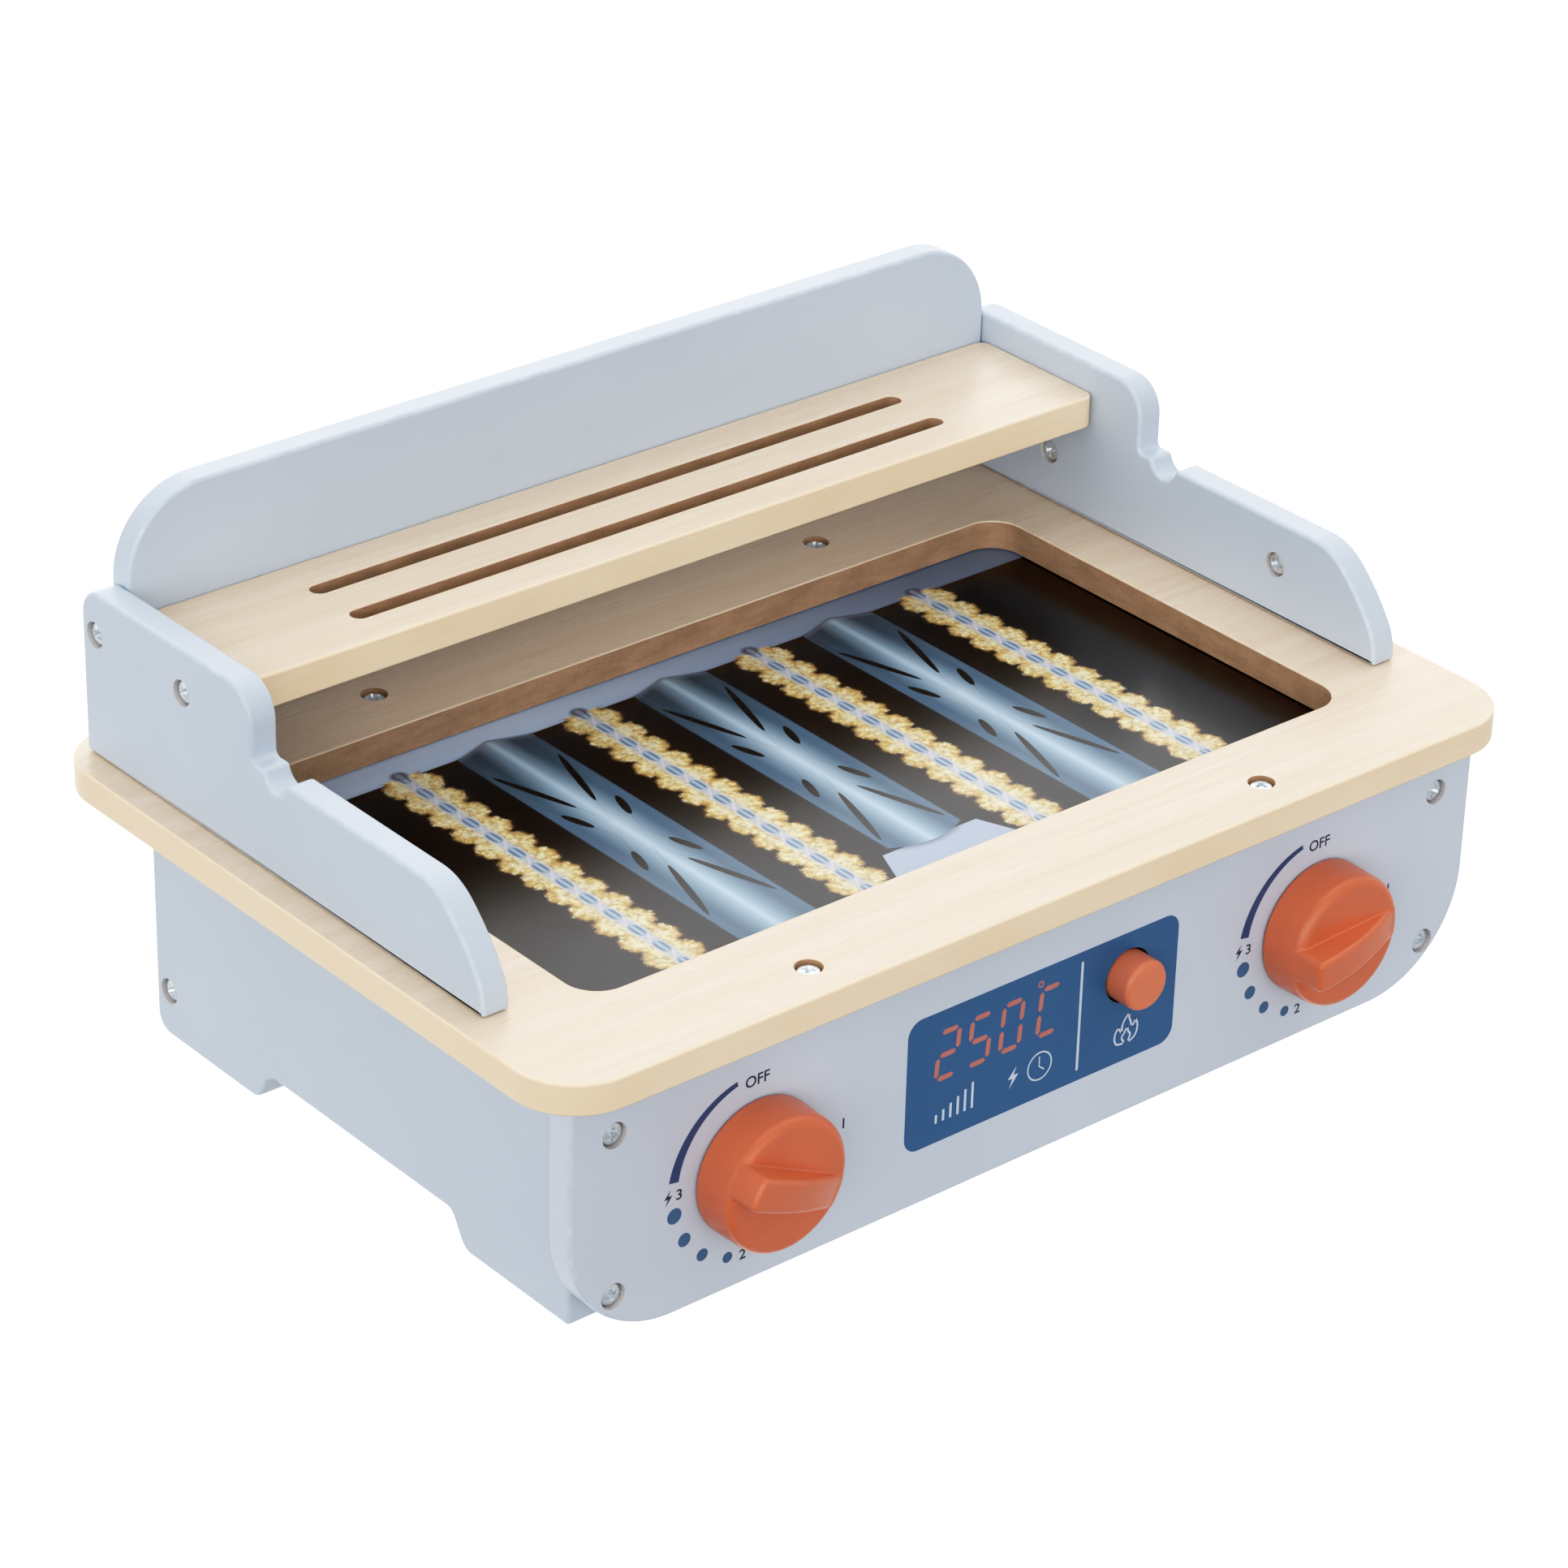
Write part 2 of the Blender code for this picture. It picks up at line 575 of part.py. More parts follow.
def build():
    clear_scene()
    screws = Screws()
    origin = Vector((0, 0, 0))

    # ---- where the screws go: x, y, z of each counterbore's mouth
    worktop_screws = {f"worktop_screw_{n}": (x, y, TOP_Z) for n, x, y in (
        ("front_left", -83.0, 13.3), ("front_right", 82.7, 13.5),
        ("rear_left", -83.4, 206.1), ("rear_right", 81.6, 205.6))}
    panel_screws = {f"panel_screw_{n}": (x, PANEL_INSET, z) for n, x, z in (
        ("top_left", -150.8, 63.8), ("top_right", 150.8, 63.7),
        ("bottom_left", -150.8, 14.2), ("bottom_right", 150.8, 13.8))}
    lower_screws = {}
    upper_screws = {}
    for side, s in (("left", -1), ("right", 1)):
        for level, z in (("low", 17.2), ("high", 69.0)):
            lower_screws[f"lower_side_screw_{side}_{level}"] = (s * SIDE_X, SIDE_Y1 - BACK_T / 2 - 1.9, z)
        upper_screws[f"upper_side_screw_{side}_shelf"] = (s * UPPER_X, 178.8, 125.7)
        upper_screws[f"upper_side_screw_{side}_back"] = (s * UPPER_X, 221.1, 126.1)
    under_screws = {}
    for side, s in (("left", -1), ("right", 1)):
        for level, y in (("front", 72.0), ("rear", 196.0)):
            under_screws[f"under_screw_{side}_{level}"] = (s * (UPPER_X - UPPER_T / 2 - 0.1), y, WORKTOP_Z)
        under_screws[f"under_screw_{side}_back"] = (s * 92.0, BACKBOARD_Y + BACKBOARD_T / 2, WORKTOP_Z)
    peg_screws = {f"peg_screw_{n}": (UPPER_X - UPPER_T, y, PEG_Z) for n, y in zip(("front", "rear"), PEG_YS)}

    # ---- worktop: laminated board with the basin cut-out
    half = WORKTOP_W / 2
    board = put(
        "worktop",
        plate_mesh("worktop", rounded(-half, 0, half, WORKTOP_D, [WORKTOP_R] * 4, 10), WORKTOP_T, "flat"),
        MAPLE, place(0, 0, WORKTOP_Z),
    )
    # its mesh is drawn from y = 0, so its origin sits on the front edge's middle
    cut(board, "basin_cutter", [
        (WORKTOP_T + 20, rounded(-CUT_X, CUT_Y0, CUT_X, CUT_Y1, [CUT_R] * 4, 14), (0, 0, WORKTOP_Z - 10), "flat"),
    ])
    soften(board, 0.6, 2)
    cut(board, "worktop_bores",
        [("turned", bore(), at, "+z") for at in worktop_screws.values()]
        + [("turned", bore(), at, "-z") for at in under_screws.values()])

    # ---- lower box
    half = PANEL_HALF
    top = WORKTOP_Z - GAP
    panel = put(
        "front_panel",
        plate_mesh("front_panel", rounded(-half, 0, half, top, [PANEL_R, PANEL_R, 0, 0], 12), PANEL_T, "front"),
        PAINT_FRONT, place(0, PANEL_INSET, 0),
    )
    soften(panel, 1.2, 3)
    holes = [("turned", bore(), at, "-y") for at in panel_screws.values()]
    holes += [("turned", pilot(24), (x, y, top), "+z") for x, y, _ in worktop_screws.values() if y < 100]
    holes += [("wide", [(0, -30), (4.2, -30), (4.2, 5), (0, 5)], (s * KNOB_X, PANEL_INSET, KNOB_Z), "-y") for s in (-1, 1)]
    holes.append(("wide", [(0, -30), (BUTTON_HOLE_R, -30), (BUTTON_HOLE_R, 5), (0, 5)], (BUTTON_X, PANEL_INSET, BUTTON_Z), "-y"))
    back_face = PANEL_INSET + PANEL_T
    for s in (-1, 1):
        holes.append(("turned", pilot(5.5), (BUTTON_X + s * 15.5, back_face, BUTTON_Z), "+y"))
    cut(panel, "front_panel_bores", holes)

    for side, s in (("left", -1), ("right", 1)):
        x0 = -SIDE_X if s < 0 else SIDE_X - SIDE_T
        lower = put(f"lower_side_{side}", plate_mesh(f"lower_side_{side}", lower_outline(), SIDE_T, "side"), PAINT, place(x0, 0, 0))
        soften(lower, 1.2)
        front = back_face + GAP
        cut(lower, f"lower_side_{side}_bores",
            [("turned", bore(), at, "+x" if s > 0 else "-x") for n, at in lower_screws.items() if side in n]
            + [("turned", pilot(20), (x, front, z), "-y") for x, _, z in panel_screws.values() if x * s > 0])

    inner = SIDE_X - SIDE_T - GAP
    back = put(
        "back_panel",
        plate_mesh("back_panel", [(-inner, 0), (inner, 0), (inner, top), (-inner, top)], BACK_T, "front"),
        PAINT, place(0, SIDE_Y1 - BACK_T, 0),
    )
    soften(back, 0.9, 2)
    cut(back, "back_panel_bores",
        [("turned", pilot(20), (s * inner, y, z), "+x" if s > 0 else "-x")
         for s in (-1, 1) for n, (x, y, z) in lower_screws.items() if x * s > 0]
        + [("turned", pilot(24), (x, y, top), "+z") for x, y, _ in worktop_screws.values() if y > 100])

    # ---- printed tray board under the cut-out, on two cleats
    put(
        "tray_board",
        plate_mesh("tray_board", rounded(-inner + 0.2, back_face + GAP, inner - 0.2, SIDE_Y1 - BACK_T - GAP, [0] * 4), TRAY_T, "flat"),
        PRINT, place(0, 0, WORKTOP_Z - GAP - TRAY_T),
    )
    for side, s in (("left", -1), ("right", 1)):
        x0 = -inner if s < 0 else inner - CLEAT
        put(
            f"cleat_{side}",
            plate_mesh(f"cleat_{side}", [(x0, 24.0), (x0 + CLEAT, 24.0), (x0 + CLEAT, 194.0), (x0, 194.0)], CLEAT, "flat"),
            BEECH, place(0, 0, WORKTOP_Z - GAP - TRAY_T - GAP - CLEAT),
        )

    # ---- upper sides
    for side, s in (("left", -1), ("right", 1)):
        x0 = -UPPER_X if s < 0 else UPPER_X - UPPER_T
        upper = put(f"upper_side_{side}", plate_mesh(f"upper_side_{side}", upper_outline(), UPPER_T, "side"), PAINT, place(x0, 0, 0))
        soften(upper, 1.1)
        holes = [("turned", bore(), at, "+x" if s > 0 else "-x") for n, at in upper_screws.items() if f"_{side}_" in n]
        holes += [("turned", pilot(18), (x, y, TOP_Z + GAP), "-z") for n, (x, y, z) in under_screws.items() if f"_{side}_" in n and not n.endswith("_back")]
        if s > 0:
            holes += [("turned", bore(), at, "-x") for at in peg_screws.values()]
        cut(upper, f"upper_side_{side}_bores", holes)

    # ---- backboard and shelf between the sides
    reach = UPPER_X - UPPER_T - GAP
    rear = put(
        "backboard",
        plate_mesh("backboard", rounded(-reach, TOP_Z + GAP, reach, BACKBOARD_TOP, [0, 0, BACKBOARD_R, BACKBOARD_R], 10), BACKBOARD_T, "front"),
        PAINT, place(0, BACKBOARD_Y, 0),
    )
    soften(rear, 1.1)
    cut(rear, "backboard_bores",
        [("turned", pilot(18), (s * reach, y, z), "+x" if s > 0 else "-x")
         for s in (-1, 1) for n, (x, y, z) in upper_screws.items() if x * s > 0 and n.endswith("_back")]
        + [("turned", pilot(18), (x, y, TOP_Z + GAP), "-z") for n, (x, y, z) in under_screws.items() if n.endswith("_back")])

    shelf_y1 = BACKBOARD_Y - GAP
    shelf = put(
        "shelf",
        plate_mesh("shelf", rounded(-reach, SHELF_Y0, reach, shelf_y1, [4.0] * 4, 8), SHELF_T, "flat"),
        MAPLE, place(0, 0, SHELF_TOP - SHELF_T),
    )
    slots = []
    for y in SLOT_YS:
        r = SLOT_W / 2
        slots.append((SHELF_T + 20, rounded(-SLOT_HALF, y - r, SLOT_HALF, y + r, [r - 0.01] * 4, 20), (0, 0, SHELF_TOP - SHELF_T - 10), "flat"))
    cut(shelf, "shelf_slots", slots)
    soften(shelf, 0.6, 2)
    cut(shelf, "shelf_bores",
        [("turned", pilot(18), (s * reach, y, z), "+x" if s > 0 else "-x")
         for s in (-1, 1) for n, (x, y, z) in upper_screws.items() if x * s > 0 and n.endswith("_shelf")])

    # ---- pegs on the outer face of the right upper side
    r = PEG_R
    peg_profile = [(0, 0), (r, 0), (r - 0.8, 1.2), (r - 0.8, PEG_LEN - 3.4), (r, PEG_LEN - 2.4), (r, PEG_LEN - 1.0)]
    peg_profile += [(r - 1.0 + math.cos(math.radians(a)), PEG_LEN - 1.0 + math.sin(math.radians(a))) for a in (30, 60, 90)]
    peg_profile += [(0, PEG_LEN)]
    peg = turned_mesh("peg", peg_profile, 20)
    for n, y in zip(("front", "rear"), PEG_YS):
        obj = put(f"peg_{n}", peg, BEECH, place(UPPER_X + GAP, y, PEG_Z), TOWARDS["+x"].to_euler())
        cut(obj, f"peg_{n}_bore", [("turned", pilot(5.6), (UPPER_X + GAP, y, PEG_Z), "-x")])

    # ---- screws
    for n, (x, y, z) in worktop_screws.items():
        screws.add(n, 22, (x, y, z - SINK), "+z", roll=hash_roll(n))
    for n, (x, y, z) in panel_screws.items():
        screws.add(n, 22, (x, y + SINK, z), "-y", roll=hash_roll(n))
    for n, (x, y, z) in list(lower_screws.items()) + list(upper_screws.items()):
        s = 1 if x > 0 else -1
        screws.add(n, 18, (x - s * SINK, y, z), "+x" if s > 0 else "-x", roll=hash_roll(n))
    for n, (x, y, z) in under_screws.items():
        screws.add(n, 18, (x, y, z + SINK), "-z", roll=hash_roll(n))
    for n, (x, y, z) in peg_screws.items():
        screws.add(n, 9.5, (x + SINK, y, z), "-x", roll=hash_roll(n))

    # ---- knobs: each turns about an axis along y, with its washer and screw
    knob = knob_mesh()
    washer = ring_mesh("washer", SHANK_R + 0.3, 7.5, 1.2, 24)
    hub_end = back_face + 1.2
    for side, s in (("left", -1), ("right", 1)):
        pivot = bpy.data.objects.new(f"knob_pivot_{side}", None)
        bpy.context.scene.collection.objects.link(pivot)
        pivot.empty_display_size = 0.02
        pivot.location = place(s * KNOB_X, PANEL_INSET, KNOB_Z)
        spin = TOWARDS["-y"] @ Matrix.Rotation(math.radians(KNOB_ANGLES[side]), 4, "Z")
        put(f"knob_{side}", knob, ORANGE, Vector((0, -KNOB_BACK * MM, 0)), spin.to_euler(), pivot)
        put(f"knob_washer_{side}", washer, STEEL, Vector((0, (PANEL_T + 1.2 + GAP) * MM, 0)), TOWARDS["+y"].to_euler(), pivot)
        turn = TOWARDS["+y"]
        put(f"knob_screw_{side}", screws.mesh(9.5), STEEL, Vector((0, (PANEL_T + 1.2 + GAP + 1.2 + GAP + HEAD_H) * MM, 0)), turn.to_euler(), pivot)

    # ---- push button, its spring and the cup that guides it
    slide = bpy.data.objects.new("button_axis", None)
    bpy.context.scene.collection.objects.link(slide)
    slide.empty_display_size = 0.02
    slide.location = place(BUTTON_X, PANEL_INSET, BUTTON_Z)
    b, f = BUTTON_R, BUTTON_PROUD
    flange = -PANEL_T - 1.8
    profile = [(0, flange - 11.0), (2.0, flange - 11.0), (2.4, flange - 10.5), (2.4, flange), (9.6, flange), (9.6, -PANEL_T - GAP), (b, -PANEL_T - GAP)]
    profile += [(b - 0.9 + 0.9 * math.cos(math.radians(a)), f - 0.9 + 0.9 * math.sin(math.radians(a))) for a in (0, 30, 60, 90)]
    profile += [(0, f)]
    put("push_button", turned_mesh("push_button", profile, 44), ORANGE, Vector((0, 0, 0)), TOWARDS["-y"].to_euler(), slide)

    depth = 14.0
    cup_y = back_face + GAP
    cup = put(
        "button_housing",
        plate_mesh("button_housing", rounded(-20.0, -11.0, 20.0, 11.0, [3.0] * 4, 14), depth, "front"),
        WHITE_PLASTIC, place(BUTTON_X, cup_y, BUTTON_Z),
    )
    soften(cup, 0.5, 2)
    cavity = [(0, -11.5), (10.0, -11.5), (10.0, 3.0), (0, 3.0)]
    guide = [(0, -20.0), (2.7, -20.0), (2.7, 3.0), (0, 3.0)]
    ears = [("turned", [(0, -30), (SHANK_R + 0.3, -30), (SHANK_R + 0.3, -0.0), (HEAD_R + 0.5, -0.0), (HEAD_R + 0.5, 30), (0, 30)], (BUTTON_X + s * 15.5, cup_y + 3.0, BUTTON_Z), "+y") for s in (-1, 1)]
    cut(cup, "housing_cavity", [
        ("wide", cavity, (BUTTON_X, cup_y, BUTTON_Z), "-y"),
    ])
    cut(cup, "housing_guide", [("turned", guide, (BUTTON_X, cup_y, BUTTON_Z), "-y")])
    cut(cup, "housing_ears", ears)
    for n, s in (("a", -1), ("b", 1)):
        screws.add(f"housing_screw_{n}", 6.5, (BUTTON_X + s * 15.5, cup_y + 3.0 + GAP + HEAD_H, BUTTON_Z), "+y", roll=hash_roll(n))
    spring_y0 = back_face + 1.8 + GAP
    spring_y1 = cup_y + 11.5 - GAP
    put("button_spring", coil_mesh("button_spring", 0.45, 5.0, spring_y1 - spring_y0, 5.5), SPRING,
        Vector((0, (spring_y0 - PANEL_INSET) * MM, 0)), TOWARDS["+y"].to_euler(), slide)
    return origin


def hash_roll(name):
    """A steady turn for a screw's cross, so that no two neighbours match."""
    return sum(ord(c) * (i + 3) for i, c in enumerate(name)) * 17 % 90


build()
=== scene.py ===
"""Looks of the toy barbecue grill: fine boards with eased edges, knobs, screws and printed
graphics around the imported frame, with procedural materials, a pale floor and soft light.

Frame coordinates are metres; the outlines below are in design millimetres, where y runs
back from the worktop's front edge and z up from the ground."""

import math

import bmesh
import bpy
import numpy as np
from mathutils import Matrix, Vector
from mathutils.geometry import tessellate_polygon


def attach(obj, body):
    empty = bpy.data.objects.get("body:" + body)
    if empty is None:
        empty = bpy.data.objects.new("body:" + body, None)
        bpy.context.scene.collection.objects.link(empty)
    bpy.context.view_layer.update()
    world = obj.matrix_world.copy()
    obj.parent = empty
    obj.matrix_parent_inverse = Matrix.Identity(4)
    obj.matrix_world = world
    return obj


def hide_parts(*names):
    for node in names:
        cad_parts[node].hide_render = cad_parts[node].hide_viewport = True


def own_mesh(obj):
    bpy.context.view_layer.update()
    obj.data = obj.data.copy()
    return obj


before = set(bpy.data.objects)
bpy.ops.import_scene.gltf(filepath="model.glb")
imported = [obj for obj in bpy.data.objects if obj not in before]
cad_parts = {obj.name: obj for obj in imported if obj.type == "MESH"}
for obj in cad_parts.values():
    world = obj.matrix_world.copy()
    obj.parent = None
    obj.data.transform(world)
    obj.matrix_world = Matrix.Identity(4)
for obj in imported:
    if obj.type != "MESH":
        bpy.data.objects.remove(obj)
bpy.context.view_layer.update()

MM = 0.001
Y_MID = 110.715

# ------------------------------------------------------- dimensions of the CAD part
GAP = 0.3
WORKTOP_W, WORKTOP_D, WORKTOP_T, WORKTOP_Z, WORKTOP_R = 350.0, 236.0, 9.45, 78.03, 20.0
TOP_Z = WORKTOP_Z + WORKTOP_T
CUT_X, CUT_Y0, CUT_Y1, CUT_R = 138.4, 35.5, 186.5, 10.3
PANEL_INSET, PANEL_T, PANEL_HALF, PANEL_R = 8.93, 9.2, 165.3, 35.0
SIDE_X, SIDE_T, SIDE_LIFT, SIDE_Y1 = 158.3, 12.0, 2.5, 209.7
ARCH_H, ARCH_Y0, ARCH_Y1 = 10.1, 63.9, 160.0
BACK_T = 9.1
UPPER_X, UPPER_T, UPPER_Y0, UPPER_Y1 = 166.7, 8.9, 43.9, 227.6
UPPER_TOP, UPPER_LOW, STEP_Y = 139.2, 118.3, 146.3
NOTCH_Y, NOTCH_Z, NOTCH_R = 135.4, 118.8, 5.1
BACKBOARD_Y, BACKBOARD_T, BACKBOARD_TOP, BACKBOARD_R = 217.5, 8.5, 165.45, 26.0
SHELF_Y0, SHELF_TOP, SHELF_T = 165.8, 130.3, 10.2
SLOT_HALF, SLOT_W, SLOT_YS = 108.5, 6.0, (181.2, 200.4)
TRAY_TOP = WORKTOP_Z - GAP
KNOB_X, KNOB_Z, KNOB_R, KNOB_FRONT_R = 103.45, 36.6, 20.6, 20.25
KNOB_FACE, KNOB_HIGH, KNOB_LOW, KNOB_ARCH = 14.6, 23.5, 13.2, 2.6
KNOB_GRIP_HALF, KNOB_BACK = 4.9, 0.6
KNOB_ANGLES = {"left": 154.0, "right": 182.5}
BUTTON_X, BUTTON_Z, BUTTON_R, BUTTON_PROUD, BUTTON_HOLE_R = 30.5, 45.85, 7.7, 8.1, 8.4
PEG_R, PEG_LEN, PEG_YS, PEG_Z = 4.0, 8.0, (86.3, 185.3), 104.2
BUTTON_TRAVEL, SPRING_WIRE, SPRING_TURNS = 3.5, 0.45, 5.5
HEAD_R, HEAD_H, SHANK_R, BORE_R, SINK = 3.4, 2.3, 1.5, 3.8, 1.1


# ---------------------------------------------------------- the studio's radiance
# tent brightness, one level every 60 degrees of bearing from -180 (left, front left, front right, right, rear right, rear left)
TENT_SCALE = 6.0
TENT_BELOW = (0.10, 0.10, 0.60, 0.70, 1.80, 1.20)
TENT_LOW = (1.95, 2.72, 0.19, 0.96, 2.75, 0.33)
TENT_HIGH = (0.20, 0.20, 0.62, 1.81, 1.85, 0.87)
TENT_ROOF = 1.42
TONE_WHITE = 1.563
TONE = ((0.0, 0.0), (0.0137, 0.0037), (0.0343, 0.0185), (0.0844, 0.0612), (0.168, 0.1384), (0.310, 0.3005), (0.527, 0.5395), (0.807, 0.7682), (1.12, 0.930), (1.362, 0.982), (TONE_WHITE, 1.0))


# ============================================================== node tree helpers
class Tree:
    """Short calls to build one material's nodes."""

    def __init__(self, name):
        self.mat = bpy.data.materials.new(name)
        self.mat.use_nodes = True
        self.nt = self.mat.node_tree
        self.bsdf = self.nt.nodes["Principled BSDF"]
        self.co = self.nt.nodes.new("ShaderNodeTexCoord").outputs["Object"]

    def put(self, socket, value):
        if isinstance(value, bpy.types.NodeSocket):
            self.nt.links.new(value, socket)
        elif socket.type == "RGBA" and len(value) == 3:
            socket.default_value = (*value, 1.0)
        else:
            socket.default_value = value

    def node(self, kind, inputs=None, **props):
        n = self.nt.nodes.new(kind)
        for k, v in props.items():
            setattr(n, k, v)
        for k, v in (inputs or {}).items():
            self.put(n.inputs[k], v)
        return n

    def set(self, **values):
        for k, v in values.items():
            self.put(self.bsdf.inputs[k.replace("_", " ")], v)

    def math(self, op, a, b=None, c=None, clamp=False):
        n = self.node("ShaderNodeMath", operation=op, use_clamp=clamp)
        for i, v in enumerate((a, b, c)):
            if v is not None:
                self.put(n.inputs[i], v)
        return n.outputs[0]

    def xyz(self, vector=None):
        n = self.node("ShaderNodeSeparateXYZ", {0: vector or self.co})
        return n.outputs[0], n.outputs[1], n.outputs[2]

    def vec(self, x, y, z):
        return self.node("ShaderNodeCombineXYZ", {0: x, 1: y, 2: z}).outputs[0]

    def scaled(self, x, y, z, offset=(0, 0, 0), vector=None):
        n = self.node("ShaderNodeMapping", {"Vector": vector or self.co, "Scale": (x, y, z), "Location": offset})
        return n.outputs[0]

    def noise(self, vector, scale=1.0, detail=4.0, rough=0.5, distortion=0.0, out="Fac"):
        n = self.node(
            "ShaderNodeTexNoise",
            {"Vector": vector, "Scale": scale, "Detail": detail, "Roughness": rough, "Distortion": distortion},
        )
        return n.outputs[out]

    def ramp(self, fac, stops, mode="LINEAR"):
        n = self.node("ShaderNodeValToRGB", {0: fac})
        n.color_ramp.interpolation = mode
        e = n.color_ramp.elements
        while len(e) < len(stops):
            e.new(0.5)
        for item, (at, colour) in zip(e, stops):
            item.position = at
            item.color = (*colour, 1.0) if hasattr(colour, "__len__") else (colour, colour, colour, 1.0)
        return n.outputs[0]

    def span(self, value, a, b, lo=0.0, hi=1.0, smooth=False):
        n = self.node(
            "ShaderNodeMapRange",
            {"Value": value, "From Min": a, "From Max": b, "To Min": lo, "To Max": hi},
            interpolation_type="SMOOTHSTEP" if smooth else "LINEAR",
            clamp=True,
        )
        return n.outputs[0]

    def mix(self, fac, a, b, mode="MIX"):
        n = self.node("ShaderNodeMix", data_type="RGBA", blend_type=mode, clamp_factor=True)
        self.put(n.inputs[0], fac)
        self.put(n.inputs[6], a)
        self.put(n.inputs[7], b)
        return n.outputs[2]

    def bump(self, height, distance=0.0001, strength=1.0, normal=None):
        n = self.node("ShaderNodeBump", {"Height": height, "Distance": distance, "Strength": strength})
        if normal is not None:
            self.put(n.inputs["Normal"], normal)
        return n.outputs[0]


def lin(r, g, b):
    """sRGB 0..255 to linear."""
    return tuple(((c / 255) / 12.92 if c <= 10.31 else ((c / 255 + 0.055) / 1.055) ** 2.4) for c in (r, g, b))


# ==================================================================== materials
def worn_and_highlit(t, amount=0.5):
    """Rubbed wear and a painted highlight on the arrises: the mesh's own edge value broken up by noise."""
    edge = t.node("ShaderNodeAttribute", attribute_name="edge").outputs["Fac"]
    rub_and_highlight = t.span(t.noise(t.scaled(1, 1, 1), 240.0, 4.0, 0.65), 0.40, 0.66)
    return t.math("MULTIPLY", t.math("MULTIPLY", edge, rub_and_highlight), amount)


def paint(name, colour, rough=0.34):
    """Sprayed satin lacquer on fibreboard: faint mottle, orange peel, and lighter arrises that are partly thin film and
    partly a painted highlight.
    """
    t = Tree(name)
    cloud = t.noise(t.scaled(1, 1, 1), 9.0, 3.0, 0.5)
    fine = t.noise(t.scaled(1, 1, 1), 620.0, 2.0, 0.5)
    base = t.mix(t.span(cloud, 0.32, 0.68), tuple(c * 0.972 for c in colour), tuple(min(1.0, c * 1.030) for c in colour))
    base = t.mix(t.math("MULTIPLY", t.span(fine, 0.45, 0.75), 0.08), base, tuple(min(1.0, c * 1.12) for c in colour))
    # lighter arrises: thin film and rubbed wear, partly a painted highlight
    base = t.mix(worn_and_highlit(t, 0.45), base, tuple(min(1.0, c * 1.22 + 0.03) for c in colour))
    t.set(Base_Color=base, Roughness=t.span(t.noise(t.scaled(1, 1, 1), 55.0, 4.0, 0.55), 0.3, 0.7, rough - 0.04, rough + 0.06))
    t.bsdf.inputs["Specular IOR Level"].default_value = 0.5
    peel = t.noise(t.scaled(1, 1, 1), 430.0, 2.0, 0.45)
    t.set(Normal=t.bump(peel, 0.00005, 0.30))
    return t.mat


def laminate(name, shade=1.0):
    """Printed maple foil: fine long grain along x in low contrast, with broad paler and darker bands."""
    t = Tree(name)
    x, y, z = t.xyz()
    drift = t.noise(t.scaled(3.0, 6.0, 3.0), 1.0, 2.0, 0.5)
    v = t.math("ADD", y, t.math("MULTIPLY", t.math("SUBTRACT", drift, 0.5), 0.022))
    band = t.noise(t.vec(t.math("MULTIPLY", x, 2.2), t.math("MULTIPLY", v, 110.0), t.math("MULTIPLY", z, 8.0)), 1.0, 2.0, 0.5)
    streak = t.noise(t.vec(t.math("MULTIPLY", x, 9.0), t.math("MULTIPLY", v, 420.0), t.math("MULTIPLY", z, 30.0)), 1.0, 3.0, 0.6)
    fibre = t.noise(t.vec(t.math("MULTIPLY", x, 48.0), t.math("MULTIPLY", v, 1700.0), t.math("MULTIPLY", z, 80.0)), 1.0, 3.0, 0.6)
    pore = t.noise(t.vec(t.math("MULTIPLY", x, 85.0), t.math("MULTIPLY", y, 2400.0), 0.0), 1.0, 1.0, 0.5)
    pale = tuple(c * shade for c in lin(240, 221, 198))
    mid = tuple(c * shade for c in lin(233, 212, 187))
    deep = tuple(c * shade for c in lin(213, 189, 159))
    base = t.mix(t.span(band, 0.34, 0.66), pale, mid)
    base = t.mix(t.math("MULTIPLY", t.span(streak, 0.48, 0.74), 0.38), base, deep)
    base = t.mix(t.math("MULTIPLY", t.span(fibre, 0.46, 0.74), 0.40), base, deep)
    base = t.mix(t.math("MULTIPLY", t.span(pore, 0.64, 0.76), 0.34), base, tuple(c * 0.78 for c in deep))
    # lighter foil on the arrises: rubbed wear, partly a painted highlight
    base = t.mix(worn_and_highlit(t, 0.30), base, tuple(min(1.0, c * 1.15) for c in pale))
    t.set(Base_Color=base, Roughness=t.span(streak, 0.3, 0.7, 0.25, 0.33))
    t.bsdf.inputs["Specular IOR Level"].default_value = 0.55
    t.set(Normal=t.bump(t.math("ADD", fibre, t.math("MULTIPLY", pore, 0.6)), 0.00002, 0.25))
    return t.mat


